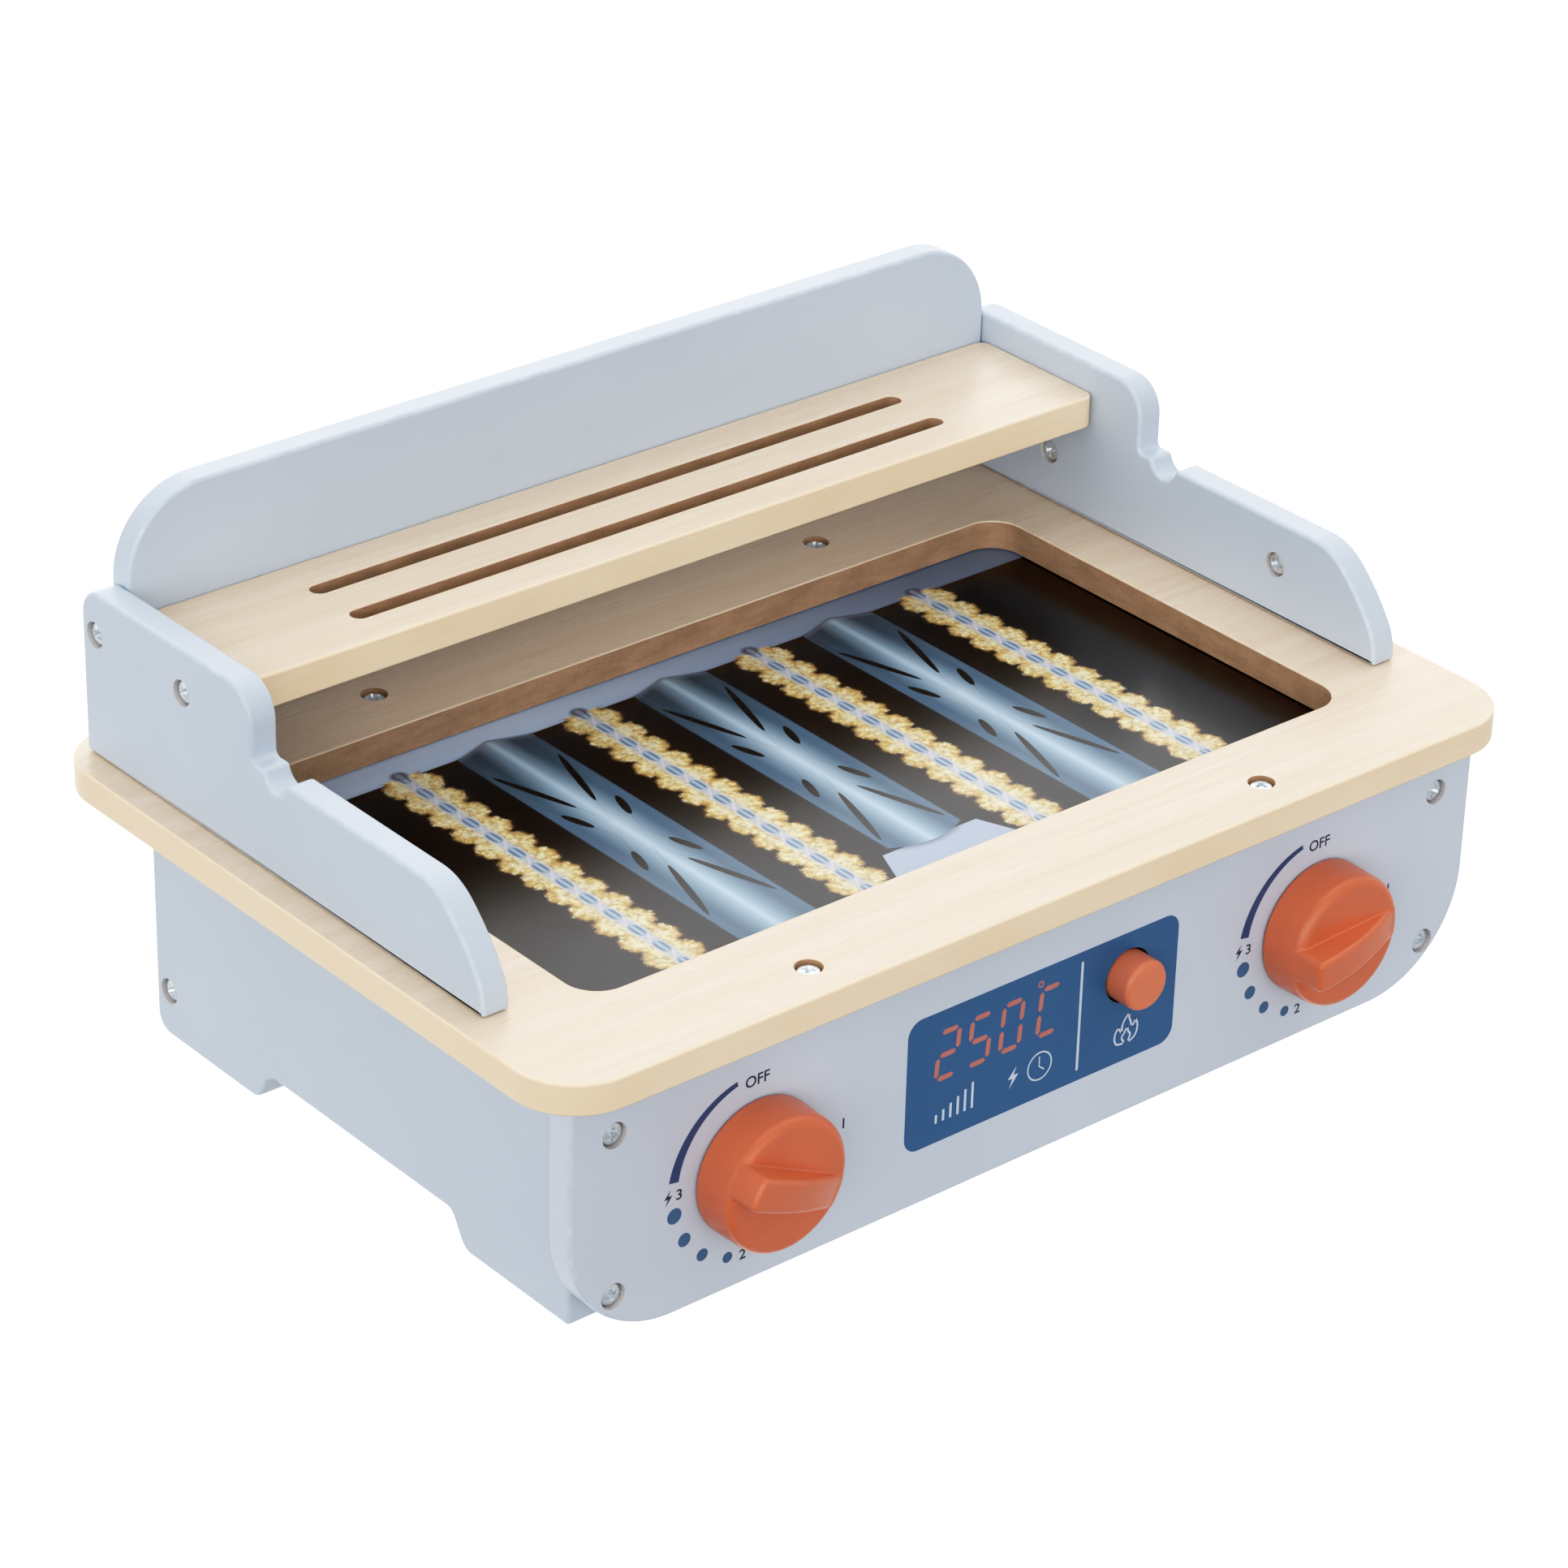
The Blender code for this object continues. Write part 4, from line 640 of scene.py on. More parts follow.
class Shell:
    """Closed mesh with one true normal for each point."""

    def __init__(self, plane="flat", w0=0.0):
        self.u, self.v, self.w, self.left = PLANES[plane]
        self.w0 = w0
        self.points, self.normals, self.faces, self.slots, self.edge = [], [], [], [], []

    def add(self, a, b, c, na, nb, nc, edge=0.0):
        c += self.w0
        self.edge.append(edge)
        p = [self.u[i] * a + self.v[i] * b + self.w[i] * c for i in range(3)]
        self.points.append((p[0] * MM, (p[1] - Y_MID) * MM, p[2] * MM))
        self.normals.append([self.u[i] * na + self.v[i] * nb + self.w[i] * nc for i in range(3)])
        return len(self.points) - 1

    def face(self, ids, slot):
        self.faces.append(tuple(reversed(ids)) if self.left else tuple(ids))
        self.slots.append(slot)

    def strip(self, low, high, slot):
        """Quads between two rings, the material on the left of their direction and w rising from low to high."""
        n = len(low)
        for i in range(n):
            j = (i + 1) % n
            self.face((low[i], low[j], high[j], high[i]), slot)

    def cap(self, loops, upper, slot):
        """Fills between closed rings of ids on one face."""
        flat = [i for loop in loops for i in loop]
        uv = lambda i: (
            sum(self.points[i][k] / MM * self.u[k] for k in range(3)),
            sum(self.points[i][k] / MM * self.v[k] for k in range(3)),
        )
        tris = tessellate_polygon([[Vector((*uv(i), 0.0)) for i in loop] for loop in loops])
        for t in tris:
            ids = [flat[k] for k in t]
            (ax, ay), (bx, by), (cx, cy) = (uv(i) for i in ids)
            s = (bx - ax) * (cy - ay) - (by - ay) * (cx - ax)
            if abs(s) < 1e-9:
                continue
            if (s > 0) != upper:
                ids.reverse()
            self.face(ids, slot)

    def wall(self, outline, thick, low, high, slot, low_slot=None, high_slot=None, steps=5):
        """A boundary with rounded arrises of radius low and high; returns the rings on both faces."""
        nrm = normals_of(outline)
        rings = []
        for r, up in ((low, False), (high, True)):
            part = []
            for k in range(steps + 1):
                th = math.pi / 2 * (k / steps)
                inset = r * (1 - math.cos(th))
                w = r * (1 - math.sin(th))
                w = thick - w if up else w
                part.append(
                    [
                        self.add(p[0] - n[0] * n[2] * inset, p[1] - n[1] * n[2] * inset, w, n[0] * math.cos(th), n[1] * math.cos(th), (1 if up else -1) * math.sin(th), math.sin(2 * th))
                        for p, n in zip(outline, nrm)
                    ]
                )
            rings.append(part)
        low_rings, high_rings = list(reversed(rings[0])), rings[1]
        for a, b in zip(low_rings, low_rings[1:]):
            self.strip(a, b, slot if low_slot is None else low_slot)
        self.strip(low_rings[-1], high_rings[0], slot)
        for a, b in zip(high_rings, high_rings[1:]):
            self.strip(a, b, slot if high_slot is None else high_slot)
        return low_rings[0], high_rings[-1]

    def bore(self, cu, cv, thick, mouth_high, profile, slot, steps=48):
        """A round way through: profile is (radius, depth from the mouth, normal out, normal towards the mouth)."""
        ring_ids = []
        turns = [math.tau * i / steps for i in range(steps)]
        for r, d, nr, nd in profile:
            w = thick - d if mouth_high else d
            ring_ids.append([self.add(cu + r * math.cos(a), cv + r * math.sin(a), w, nr * math.cos(a), nr * math.sin(a), nd if mouth_high else -nd) for a in turns])
        for a, b in zip(ring_ids, ring_ids[1:]):
            lo, hi = (b, a) if mouth_high else (a, b)
            n = len(lo)
            for i in range(n):
                j = (i + 1) % n
                self.face((lo[j], lo[i], hi[i], hi[j]), slot)
        mouth, far = ring_ids[0], ring_ids[-1]
        return (far, mouth) if mouth_high else (mouth, far)

    def object(self, name, mats):
        return make_object(name, self.points, self.faces, mats, self.slots, self.normals, self.edge)


def make_object(name, points, faces, mats, slots=None, normals=None, edge=None):
    mesh = bpy.data.meshes.new(name)
    mesh.from_pydata([tuple(p) for p in points], [], [tuple(f) for f in faces])
    for m in mats:
        mesh.materials.append(m)
    if slots:
        mesh.polygons.foreach_set("material_index", slots)
    mesh.shade_smooth()
    mesh.update()
    if normals is not None:
        mesh.normals_split_custom_set_from_vertices([tuple(n) for n in normals])
    if edge is not None:
        mesh.attributes.new("edge", "FLOAT", "POINT").data.foreach_set("value", edge)
    obj = bpy.data.objects.new(name, mesh)
    bpy.context.scene.collection.objects.link(obj)
    return obj


def counterbore(thick, depth=SINK + HEAD_H + 0.3, r=BORE_R, hole=SHANK_R + 0.35, lip=0.22):
    out = []
    for k in range(5):
        a = math.pi / 2 * k / 4
        out.append((r + lip - lip * math.sin(a), lip - lip * math.cos(a), -math.sin(a), math.cos(a)))
    f = 0.3
    for k in range(5):
        a = math.pi / 2 * k / 4
        out.append((r - f + f * math.cos(a), depth - f + f * math.sin(a), -math.cos(a), math.sin(a)))
    e = 0.12
    for k in range(4):
        a = math.pi / 2 * k / 3
        out.append((hole + e - e * math.sin(a), depth + e - e * math.cos(a), -math.sin(a), math.cos(a)))
    for k in range(4):
        a = math.pi / 2 * k / 3
        out.append((hole + e - e * math.cos(a), thick - e + e * math.sin(a), -math.cos(a), -math.sin(a)))
    return out


def plain_bore(thick, r, lip=0.2):
    out = []
    for k in range(5):
        a = math.pi / 2 * k / 4
        out.append((r + lip - lip * math.sin(a), lip - lip * math.cos(a), -math.sin(a), math.cos(a)))
    for k in range(5):
        a = math.pi / 2 * k / 4
        out.append((r + lip - lip * math.cos(a), thick - lip + lip * math.sin(a), -math.cos(a), -math.sin(a)))
    return out


def board(name, outline, thick, plane, w0, mats, arris, body="grill_base", node=None, holes=(), bores=(), soft_corner=None):
    """mats: face, edge, bore, hole wall.  holes: (outline, lip low, lip high).  bores: (u, v, mouth on the high face, profile, slot)."""
    shell = Shell(plane, w0)
    points = tidy(outline)
    if area(points) < 0:
        points.reverse()
    points = pin(ease(points, soft_corner or arris + 0.2))
    lows, highs = [], []
    low, high = shell.wall(points, thick, arris, arris, 1)
    lows.append(low)
    highs.append(high)
    for hole, lip_low, lip_high in holes:
        pts = tidy(hole)
        if area(pts) > 0:
            pts.reverse()
        pts = pin(pts)
        low, high = shell.wall(pts, thick, lip_low, lip_high, 3, 3, 0, steps=4)
        lows.append(low)
        highs.append(high)
    for u, v, mouth_high, profile, s in bores:
        low, high = shell.bore(u, v, thick, mouth_high, profile, s)
        lows.append(low)
        highs.append(high)
    shell.cap(lows, False, 0)
    shell.cap(highs, True, 0)
    obj = shell.object(name, mats)
    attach(obj, body)
    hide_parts(node or name.replace("_fine", ""))
    return obj


# ======================================================================= outlines
def upper_outline():
    z0 = TOP_Z + GAP
    points = [(UPPER_Y0, z0)]
    nose = chain((UPPER_Y0, z0 + 1.5), 90.0, [(15.0, -35.0), (62.0, -17.0), (20.4, -38.0)])
    scale = (UPPER_LOW - (z0 + 1.5)) / (nose[-1][1] - (z0 + 1.5))
    points += [(y, (z - z0 - 1.5) * scale + z0 + 1.5) for y, z in nose]
    lip = 1.7
    reach = math.sqrt((NOTCH_R + lip) ** 2 - (NOTCH_Z - (UPPER_LOW - lip)) ** 2)
    turn = math.degrees(math.atan2(UPPER_LOW - lip - NOTCH_Z, -reach)) % 360
    points += arc(NOTCH_Y - reach, UPPER_LOW - lip, lip, 90, turn - 180, 10)
    points += arc(NOTCH_Y, NOTCH_Z, NOTCH_R, turn, 540 - turn, 32)[1:-1]
    points += arc(NOTCH_Y + reach, UPPER_LOW - lip, lip, 360 - turn, 90, 10)
    foot = 1.6
    points += arc(STEP_Y - foot, UPPER_LOW + foot, foot, 270, 360, 10)
    points += arc(STEP_Y + 10.8, UPPER_TOP - 10.8, 10.8, 180, 90, 28)
    points += arc(UPPER_Y1 - 8.0, UPPER_TOP - 8.0, 8.0, 90, 0, 22)
    points.append((UPPER_Y1, z0))
    points.reverse()
    return points


def lower_outline():
    y0 = PANEL_INSET + PANEL_T + GAP
    z0, z1 = SIDE_LIFT, WORKTOP_Z - GAP
    rear = chain((ARCH_Y0 - 3.0, z0), 0.0, [(6.0, 56.0), ("line", 4.6), (4.2, -56.0)])
    top = rear[-1][1]
    rear = [(y, z0 + (z - z0) * ARCH_H / (top - z0)) for y, z in rear]
    span = ARCH_Y0 - 3.0 + ARCH_Y1 + 3.0
    front = [(span - y, z) for y, z in reversed(rear)]
    points = [(y0, z0)] + rear + front
    points += arc(SIDE_Y1 - 6.0, z0 + 6.0, 6.0, 270, 360, 16)
    points += [(SIDE_Y1, z1), (y0, z1)]
    return points


# ============================================================ screws: where they go
SCREWS = {}  # name: (mouth x, y, z, direction of the head, length)
for n, x, y in (("front_left", -83.0, 13.3), ("front_right", 82.7, 13.5), ("rear_left", -83.4, 206.1), ("rear_right", 81.6, 205.6)):
    SCREWS[f"worktop_screw_{n}"] = (x, y, TOP_Z, "+z", 22)
for n, x, z in (("top_left", -150.8, 63.8), ("top_right", 150.8, 63.7), ("bottom_left", -150.8, 14.2), ("bottom_right", 150.8, 13.8)):
    SCREWS[f"panel_screw_{n}"] = (x, PANEL_INSET, z, "-y", 22)
for side, s in (("left", -1), ("right", 1)):
    out = "+x" if s > 0 else "-x"
    for level, z in (("low", 17.2), ("high", 69.0)):
        SCREWS[f"lower_side_screw_{side}_{level}"] = (s * SIDE_X, SIDE_Y1 - BACK_T / 2 - 1.9, z, out, 18)
    SCREWS[f"upper_side_screw_{side}_shelf"] = (s * UPPER_X, 178.8, 125.7, out, 18)
    SCREWS[f"upper_side_screw_{side}_back"] = (s * UPPER_X, 221.1, 126.1, out, 18)
    for level, y in (("front", 72.0), ("rear", 196.0)):
        SCREWS[f"under_screw_{side}_{level}"] = (s * (UPPER_X - UPPER_T / 2 - 0.1), y, WORKTOP_Z, "-z", 18)
    SCREWS[f"under_screw_{side}_back"] = (s * 92.0, BACKBOARD_Y + BACKBOARD_T / 2, WORKTOP_Z, "-z", 18)
for n, y in zip(("front", "rear"), PEG_YS):
    SCREWS[f"peg_screw_{n}"] = (UPPER_X - UPPER_T, y, PEG_Z, "-x", 9.5)


def screws_at(prefix, side=None):
    return [(n, v) for n, v in SCREWS.items() if n.startswith(prefix) and (side is None or f"_{side}" in n)]


# ========================================================================== boards
half = WORKTOP_W / 2
cb = counterbore(WORKTOP_T)
worktop = board(
    "worktop_fine",
    rounded(-half, 0, half, WORKTOP_D, [WORKTOP_R] * 4),
    WORKTOP_T,
    "flat",
    WORKTOP_Z,
    [TOP_FOIL, BAND, RAW, RAW],
    0.7,
    node="worktop",
    holes=[(rounded(-CUT_X, CUT_Y0, CUT_X, CUT_Y1, [CUT_R] * 4, 0.4), 0.3, 0.45)],
    bores=[(v[0], v[1], True, cb, 2) for _, v in screws_at("worktop_screw")] + [(v[0], v[1], False, cb, 2) for _, v in screws_at("under_screw")],
)

top = WORKTOP_Z - GAP
panel = board(
    "front_panel_fine",
    rounded(-PANEL_HALF, 0, PANEL_HALF, top, [PANEL_R, PANEL_R, 0, 0]),
    PANEL_T,
    "front",
    PANEL_INSET,
    [PAINT_FRONT, PAINT_FRONT, RAW_GREY, PAINT_FRONT, RAW_PAINTED_SHADE],
    1.4,
    node="front_panel",
    bores=[(v[0], v[2], False, counterbore(PANEL_T), 2) for _, v in screws_at("panel_screw")]
    + [(s * KNOB_X, KNOB_Z, False, plain_bore(PANEL_T, 4.2), 2) for s in (-1, 1)]
    + [(BUTTON_X, BUTTON_Z, False, plain_bore(PANEL_T, BUTTON_HOLE_R, 0.12), 4)],
)

for side, s in (("left", -1), ("right", 1)):
    board(
        f"lower_side_{side}_fine",
        lower_outline(),
        SIDE_T,
        "side",
        -SIDE_X if s < 0 else SIDE_X - SIDE_T,
        [PAINT, PAINT, RAW_GREY, PAINT],
        1.2,
        node=f"lower_side_{side}",
        bores=[(v[1], v[2], s > 0, counterbore(SIDE_T), 2) for _, v in screws_at("lower_side_screw", side)],
    )
    bores = [(v[1], v[2], s > 0, counterbore(UPPER_T), 2) for _, v in screws_at("upper_side_screw", side)]
    if s > 0:
        bores += [(v[1], v[2], False, counterbore(UPPER_T), 2) for _, v in screws_at("peg_screw")]
    board(
        f"upper_side_{side}_fine",
        upper_outline(),
        UPPER_T,
        "side",
        -UPPER_X if s < 0 else UPPER_X - UPPER_T,
        [PAINT, PAINT, RAW_GREY, PAINT],
        1.3,
        node=f"upper_side_{side}",
        bores=bores,
    )

inner = SIDE_X - SIDE_T - GAP
board(
    "back_panel_fine",
    [(-inner, 0), (inner, 0), (inner, top), (-inner, top)],
    BACK_T,
    "front",
    SIDE_Y1 - BACK_T,
    [PAINT] * 4,
    1.0,
    node="back_panel",
)

reach = UPPER_X - UPPER_T - GAP
board(
    "backboard_fine",
    rounded(-reach, TOP_Z + GAP, reach, BACKBOARD_TOP, [0, 0, BACKBOARD_R, BACKBOARD_R]),
    BACKBOARD_T,
    "front",
    BACKBOARD_Y,
    [PAINT] * 4,
    1.3,
    node="backboard",
)

r = SLOT_W / 2
board(
    "shelf_fine",
    rounded(-reach, SHELF_Y0, reach, BACKBOARD_Y - GAP, [4.0] * 4),
    SHELF_T,
    "flat",
    SHELF_TOP - SHELF_T,
    [TOP_FOIL, BAND, RAW, RAW],
    0.7,
    node="shelf",
    holes=[(rounded(-SLOT_HALF, y - r, SLOT_HALF, y + r, [r - 0.01] * 4, 0.3), 0.3, 0.4) for y in SLOT_YS],
)


# =================================================================== turned pieces
TOWARDS = {
    "+z": Matrix.Identity(4),
    "-z": Matrix.Rotation(math.pi, 4, "X"),
    "-y": Matrix.Rotation(math.pi / 2, 4, "X"),
    "+y": Matrix.Rotation(-math.pi / 2, 4, "X"),
    "+x": Matrix.Rotation(math.pi / 2, 4, "Y"),
    "-x": Matrix.Rotation(-math.pi / 2, 4, "Y"),
}


def place(x, y, z):
    return Vector((x * MM, (y - Y_MID) * MM, z * MM))


def turned(profile, steps=64):
    """Points and faces of a solid turned about +Z; the profile runs from the axis round to the axis, bottom to top outside."""
    points, rings, faces = [], [], []
    for r, z in profile:
        if r < 1e-6:
            rings.append([len(points)])
            points.append((0.0, 0.0, z))
        else:
            start = len(points)
            points += [(r * math.cos(math.tau * i / steps), r * math.sin(math.tau * i / steps), z) for i in range(steps)]
            rings.append(list(range(start, start + steps)))
    for a, b in zip(rings, rings[1:]):
        for i in range(steps):
            j = (i + 1) % steps
            if len(a) == 1:
                faces.append((a[0], b[j], b[i]))
            elif len(b) == 1:
                faces.append((a[i], a[j], b[0]))
            else:
                faces.append((a[i], a[j], b[j], b[i]))
    return points, faces


def fillets(profile, radii, steps=5):
    """Rounds the corners of an open (r, z) profile; radii by corner."""
    out = [profile[0]]
    for i in range(1, len(profile) - 1):
        a, b, c = profile[i - 1], profile[i], profile[i + 1]
        rad = radii.get(i, 0.0)
        l1, l2 = math.hypot(b[0] - a[0], b[1] - a[1]), math.hypot(c[0] - b[0], c[1] - b[1])
        d1, d2 = ((b[0] - a[0]) / l1, (b[1] - a[1]) / l1), ((c[0] - b[0]) / l2, (c[1] - b[1]) / l2)
        turn = math.atan2(d1[0] * d2[1] - d1[1] * d2[0], d1[0] * d2[0] + d1[1] * d2[1])
        if rad <= 0 or abs(turn) < 0.02:
            out.append(b)
            continue
        back = min(rad * math.tan(abs(turn) / 2), 0.48 * l1, 0.48 * l2)
        rr = back / math.tan(abs(turn) / 2)
        s = 1 if turn > 0 else -1
        px, py = b[0] - d1[0] * back, b[1] - d1[1] * back
        cx, cy = px - s * d1[1] * rr, py + s * d1[0] * rr
        a0 = math.atan2(py - cy, px - cx)
        out += [(cx + rr * math.cos(a0 + turn * k / steps), cy + rr * math.sin(a0 + turn * k / steps)) for k in range(steps + 1)]
    out.append(profile[-1])
    return out


def solid(name, points, faces, mats, matrix, smooth=40.0):
    mesh = bpy.data.meshes.new(name)
    mesh.from_pydata([tuple(c * MM for c in p) for p in points], [], faces)
    mesh.transform(matrix)
    for m in mats:
        mesh.materials.append(m)
    mesh.shade_smooth()
    mesh.set_sharp_from_angle(angle=math.radians(smooth))
    obj = bpy.data.objects.new(name, mesh)
    bpy.context.scene.collection.objects.link(obj)
    return obj


def screw_points(length, around=72):
    """Pan-head screw: fine dome with a cross recess; the head's rim lies at z = 0."""
    # top of the head as rings of a height field
    dome, rim = 0.58, 0.65
    points, faces = [], []

    def head_z(r):
        if r < HEAD_R - rim:
            return 0.05 + dome * (1 - (r / (HEAD_R - rim)) ** 2) * 0.85
        t = min(1.0, (r - (HEAD_R - rim)) / rim)
        return 0.05 - rim * (1 - math.sqrt(max(0.0, 1 - t * t)))

    def recess(x, y):
        deep = 0.0
        for a in (0.0, math.pi / 2):
            u = x * math.cos(a) + y * math.sin(a)
            v = -x * math.sin(a) + y * math.cos(a)
            half_w = 0.42 + 0.10 * max(0.0, 1 - abs(u) / 2.0)
            wall = 0.16
            k = min(1.0, max(0.0, (half_w + wall - abs(v)) / wall))
            k = k * k * (3 - 2 * k)
            floor = 1.5 * min(1.0, max(0.0, (1.95 - abs(u)) / 0.7)) ** 0.7
            deep = max(deep, k * floor)
        return deep

    radii = [0.0]
    while radii[-1] < HEAD_R - rim - 0.2:
        radii.append(radii[-1] + 0.12)
    radii += [HEAD_R - rim]
    radii += [HEAD_R - rim + rim * math.sin(math.pi / 2 * k / 6) for k in range(1, 7)]
    rings = []
    for r in radii:
        if r == 0.0:
            rings.append([0])
            points.append((0.0, 0.0, head_z(0.0) - recess(0, 0)))
            continue
        start = len(points)
        for i in range(around):
            a = math.tau * i / around
            x, y = r * math.cos(a), r * math.sin(a)
            points.append((x, y, head_z(r) - recess(x, y)))
        rings.append(list(range(start, start + around)))
    for r, z in (
        (HEAD_R, -HEAD_H + 0.15), (HEAD_R - 0.15, -HEAD_H), (SHANK_R + 0.3, -HEAD_H), (SHANK_R, -HEAD_H - 0.3),
        (SHANK_R, -HEAD_H - length + 3.8), (0.25, -HEAD_H - length + 0.2),
    ):
        start = len(points)
        points += [(r * math.cos(math.tau * i / around), r * math.sin(math.tau * i / around), z) for i in range(around)]
        rings.append(list(range(start, start + around)))
    points.append((0.0, 0.0, -HEAD_H - length))
    rings.append([len(points) - 1])
    for a, b in zip(rings, rings[1:]):
        for i in range(around):
            j = (i + 1) % around
            if len(a) == 1:
                faces.append((a[0], b[i], b[j]))
            elif len(b) == 1:
                faces.append((b[0], a[j], a[i]))
            else:
                faces.append((a[j], a[i], b[i], b[j]))
    return points, faces


def hash_roll(name):
    return sum(ord(c) * (i + 3) for i, c in enumerate(name)) * 17 % 90


STEP = {"+x": (-1, 0, 0), "-x": (1, 0, 0), "-y": (0, 1, 0), "+y": (0, -1, 0), "+z": (0, 0, -1), "-z": (0, 0, 1)}
for n, (x, y, z, way, length) in SCREWS.items():
    p, f = screw_points(length)
    dx, dy, dz = (c * SINK for c in STEP[way])
    m = Matrix.Translation(place(x + dx, y + dy, z + dz)) @ TOWARDS[way] @ Matrix.Rotation(math.radians(hash_roll(n)) + 0.35, 4, "Z")
    obj = solid(f"{n}_fine", p, f, [ZINC], m, 38)
    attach(obj, "grill_base")
    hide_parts(n)


# ----------------------------------------------------------------------- pegs
r = PEG_R
profile = [(0, 0), (r, 0), (r - 0.8, 1.2), (r - 0.8, PEG_LEN - 3.4), (r, PEG_LEN - 2.4), (r, PEG_LEN), (0, PEG_LEN)]
profile = fillets(profile, {1: 0.25, 2: 0.9, 3: 0.9, 4: 0.7, 5: 1.1}, 8)
for n, y in zip(("front", "rear"), PEG_YS):
    p, f = turned(profile, 72)
    obj = solid(f"peg_{n}_fine", p, f, [PEG_WOOD], Matrix.Translation(place(UPPER_X + GAP, y, PEG_Z)) @ TOWARDS["+x"], 50)
    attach(obj, "grill_base")
    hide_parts(f"peg_{n}")


# ---------------------------------------------------------------------- button
b, f = BUTTON_R, BUTTON_PROUD
flange = -PANEL_T - 1.8
profile = [(0, flange - 11.0), (2.4, flange - 11.0), (2.4, flange), (9.6, flange), (9.6, -PANEL_T - GAP), (b, -PANEL_T - GAP), (b, f), (b * 0.5, f + 0.0), (0, f)]
profile = fillets(profile, {1: 0.4, 3: 0.2, 4: 0.2, 6: 1.7}, 10)
p, q = turned(profile, 96)
button = solid("push_button_fine", p, q, [ORANGE_BUTTON], Matrix.Translation(place(BUTTON_X, PANEL_INSET, BUTTON_Z)) @ TOWARDS["-y"], 50)
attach(button, "button_body")
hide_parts("push_button")


# ---------------------------------------------------------- the button's spring
cad_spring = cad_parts["button_spring"]
reach_of = [cad_spring.matrix_world @ v.co for v in cad_spring.data.vertices]
spring_y0, spring_y1 = min(c.y for c in reach_of) / MM, max(c.y for c in reach_of) / MM
spring_r = (max(c.x for c in reach_of) - min(c.x for c in reach_of)) / MM / 2 - SPRING_WIRE
spring_len = spring_y1 - spring_y0


def lift(turn):
    """Height of the wire's middle: closed turns at both ends, even pitch between."""
    shut, pitch = 0.8, 2.04 * SPRING_WIRE
    open_pitch = (spring_len - 2 * SPRING_WIRE - 2 * shut * pitch) / (SPRING_TURNS - 2 * shut)
    return SPRING_WIRE + pitch * min(turn, shut) + open_pitch * min(max(turn - shut, 0.0), SPRING_TURNS - 2 * shut) + pitch * max(turn - SPRING_TURNS + shut, 0.0)


count, ring = 260, 14
points, faces = [], []
for i in range(count + 1):
    turn = SPRING_TURNS * i / count
    c, s = math.cos(math.tau * turn), math.sin(math.tau * turn)
    for k in range(ring):
        a = math.tau * k / ring
        r = spring_r + SPRING_WIRE * math.cos(a)
        points.append((r * c, r * s, lift(turn) + SPRING_WIRE * math.sin(a)))
for i in range(count):
    for k in range(ring):
        a, b = i * ring + k, i * ring + (k + 1) % ring
        faces.append((a, a + ring, b + ring, b))
faces.append(tuple(range(ring)))
faces.append(tuple(reversed(range(count * ring, (count + 1) * ring))))
spring = solid("button_spring_fine", points, faces, [WIRE], Matrix.Translation(Vector((BUTTON_X, spring_y0, BUTTON_Z)) * MM) @ TOWARDS["+y"], 60)
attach(spring, "grill_base")
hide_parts("button_spring")
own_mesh(spring)


# ----------------------------------------------------------------------- knobs
def knob_field(p):
    """Signed distance, mm, of the knob about +Z: a rimmed tapered disc with a wedge grip, a hub and a screw hole."""
    x, y, z = p[:, 0], p[:, 1], p[:, 2]
    rho = np.hypot(x, y)
    face = KNOB_FACE - KNOB_BACK
    high, low = KNOB_HIGH - KNOB_BACK - 0.08, KNOB_LOW - KNOB_BACK
    # disc
    rp = rho + (KNOB_R - KNOB_FRONT_R) * np.clip(z / face, -0.2, 1.2)
    rim = np.where(z > face / 2, 2.9, 0.4)
    qx, qz = rp - (KNOB_R - rim), np.abs(z - face / 2) - (face / 2 - rim)
    disc = np.minimum(np.maximum(qx, qz), 0) + np.hypot(np.maximum(qx, 0), np.maximum(qz, 0)) - rim
    # grip
    t = np.clip(x / KNOB_R, -1.15, 1.15)
    roof = low + (high - low) * (t + 1) / 2 + KNOB_ARCH * (1 - t * t)
    slope = ((high - low) / 2 - 2 * KNOB_ARCH * t) / KNOB_R
    over = (z - roof) / np.sqrt(1 + slope * slope)
    beside = np.abs(y) - (KNOB_GRIP_HALF + 0.35 * np.clip((face + 4 - z) / 8, 0, 1))
    around = rho - (KNOB_FRONT_R - 0.1)

    def meet(a, b, r):
        return np.minimum(-r, np.maximum(a, b)) + np.hypot(np.maximum(r + a, 0), np.maximum(r + b, 0))

    def unite(a, b, r):
        return np.maximum(r, np.minimum(a, b)) - np.hypot(np.maximum(r - a, 0), np.maximum(r - b, 0))

    grip = meet(meet(beside, over, 1.55), around, 1.5)
    grip = np.maximum(grip, 2.0 - z)
    body = unite(disc, grip, 0.55)
    # hub and screw hole behind
    back = -PANEL_T - KNOB_BACK - 1.2
    hub = np.maximum(rho - 3.8, np.maximum(back - z, z - 1.0))
    body = np.minimum(body, hub)
    hole = np.maximum(rho - (SHANK_R + 0.2), z - 4.0)
    return np.maximum(body, -hole)


def gradient(field, p, e=0.02):
    g = np.empty_like(p)
    for k in range(3):
        d = np.zeros(3)
        d[k] = e
        g[:, k] = (field(p + d) - field(p - d)) / (2 * e)
    return g


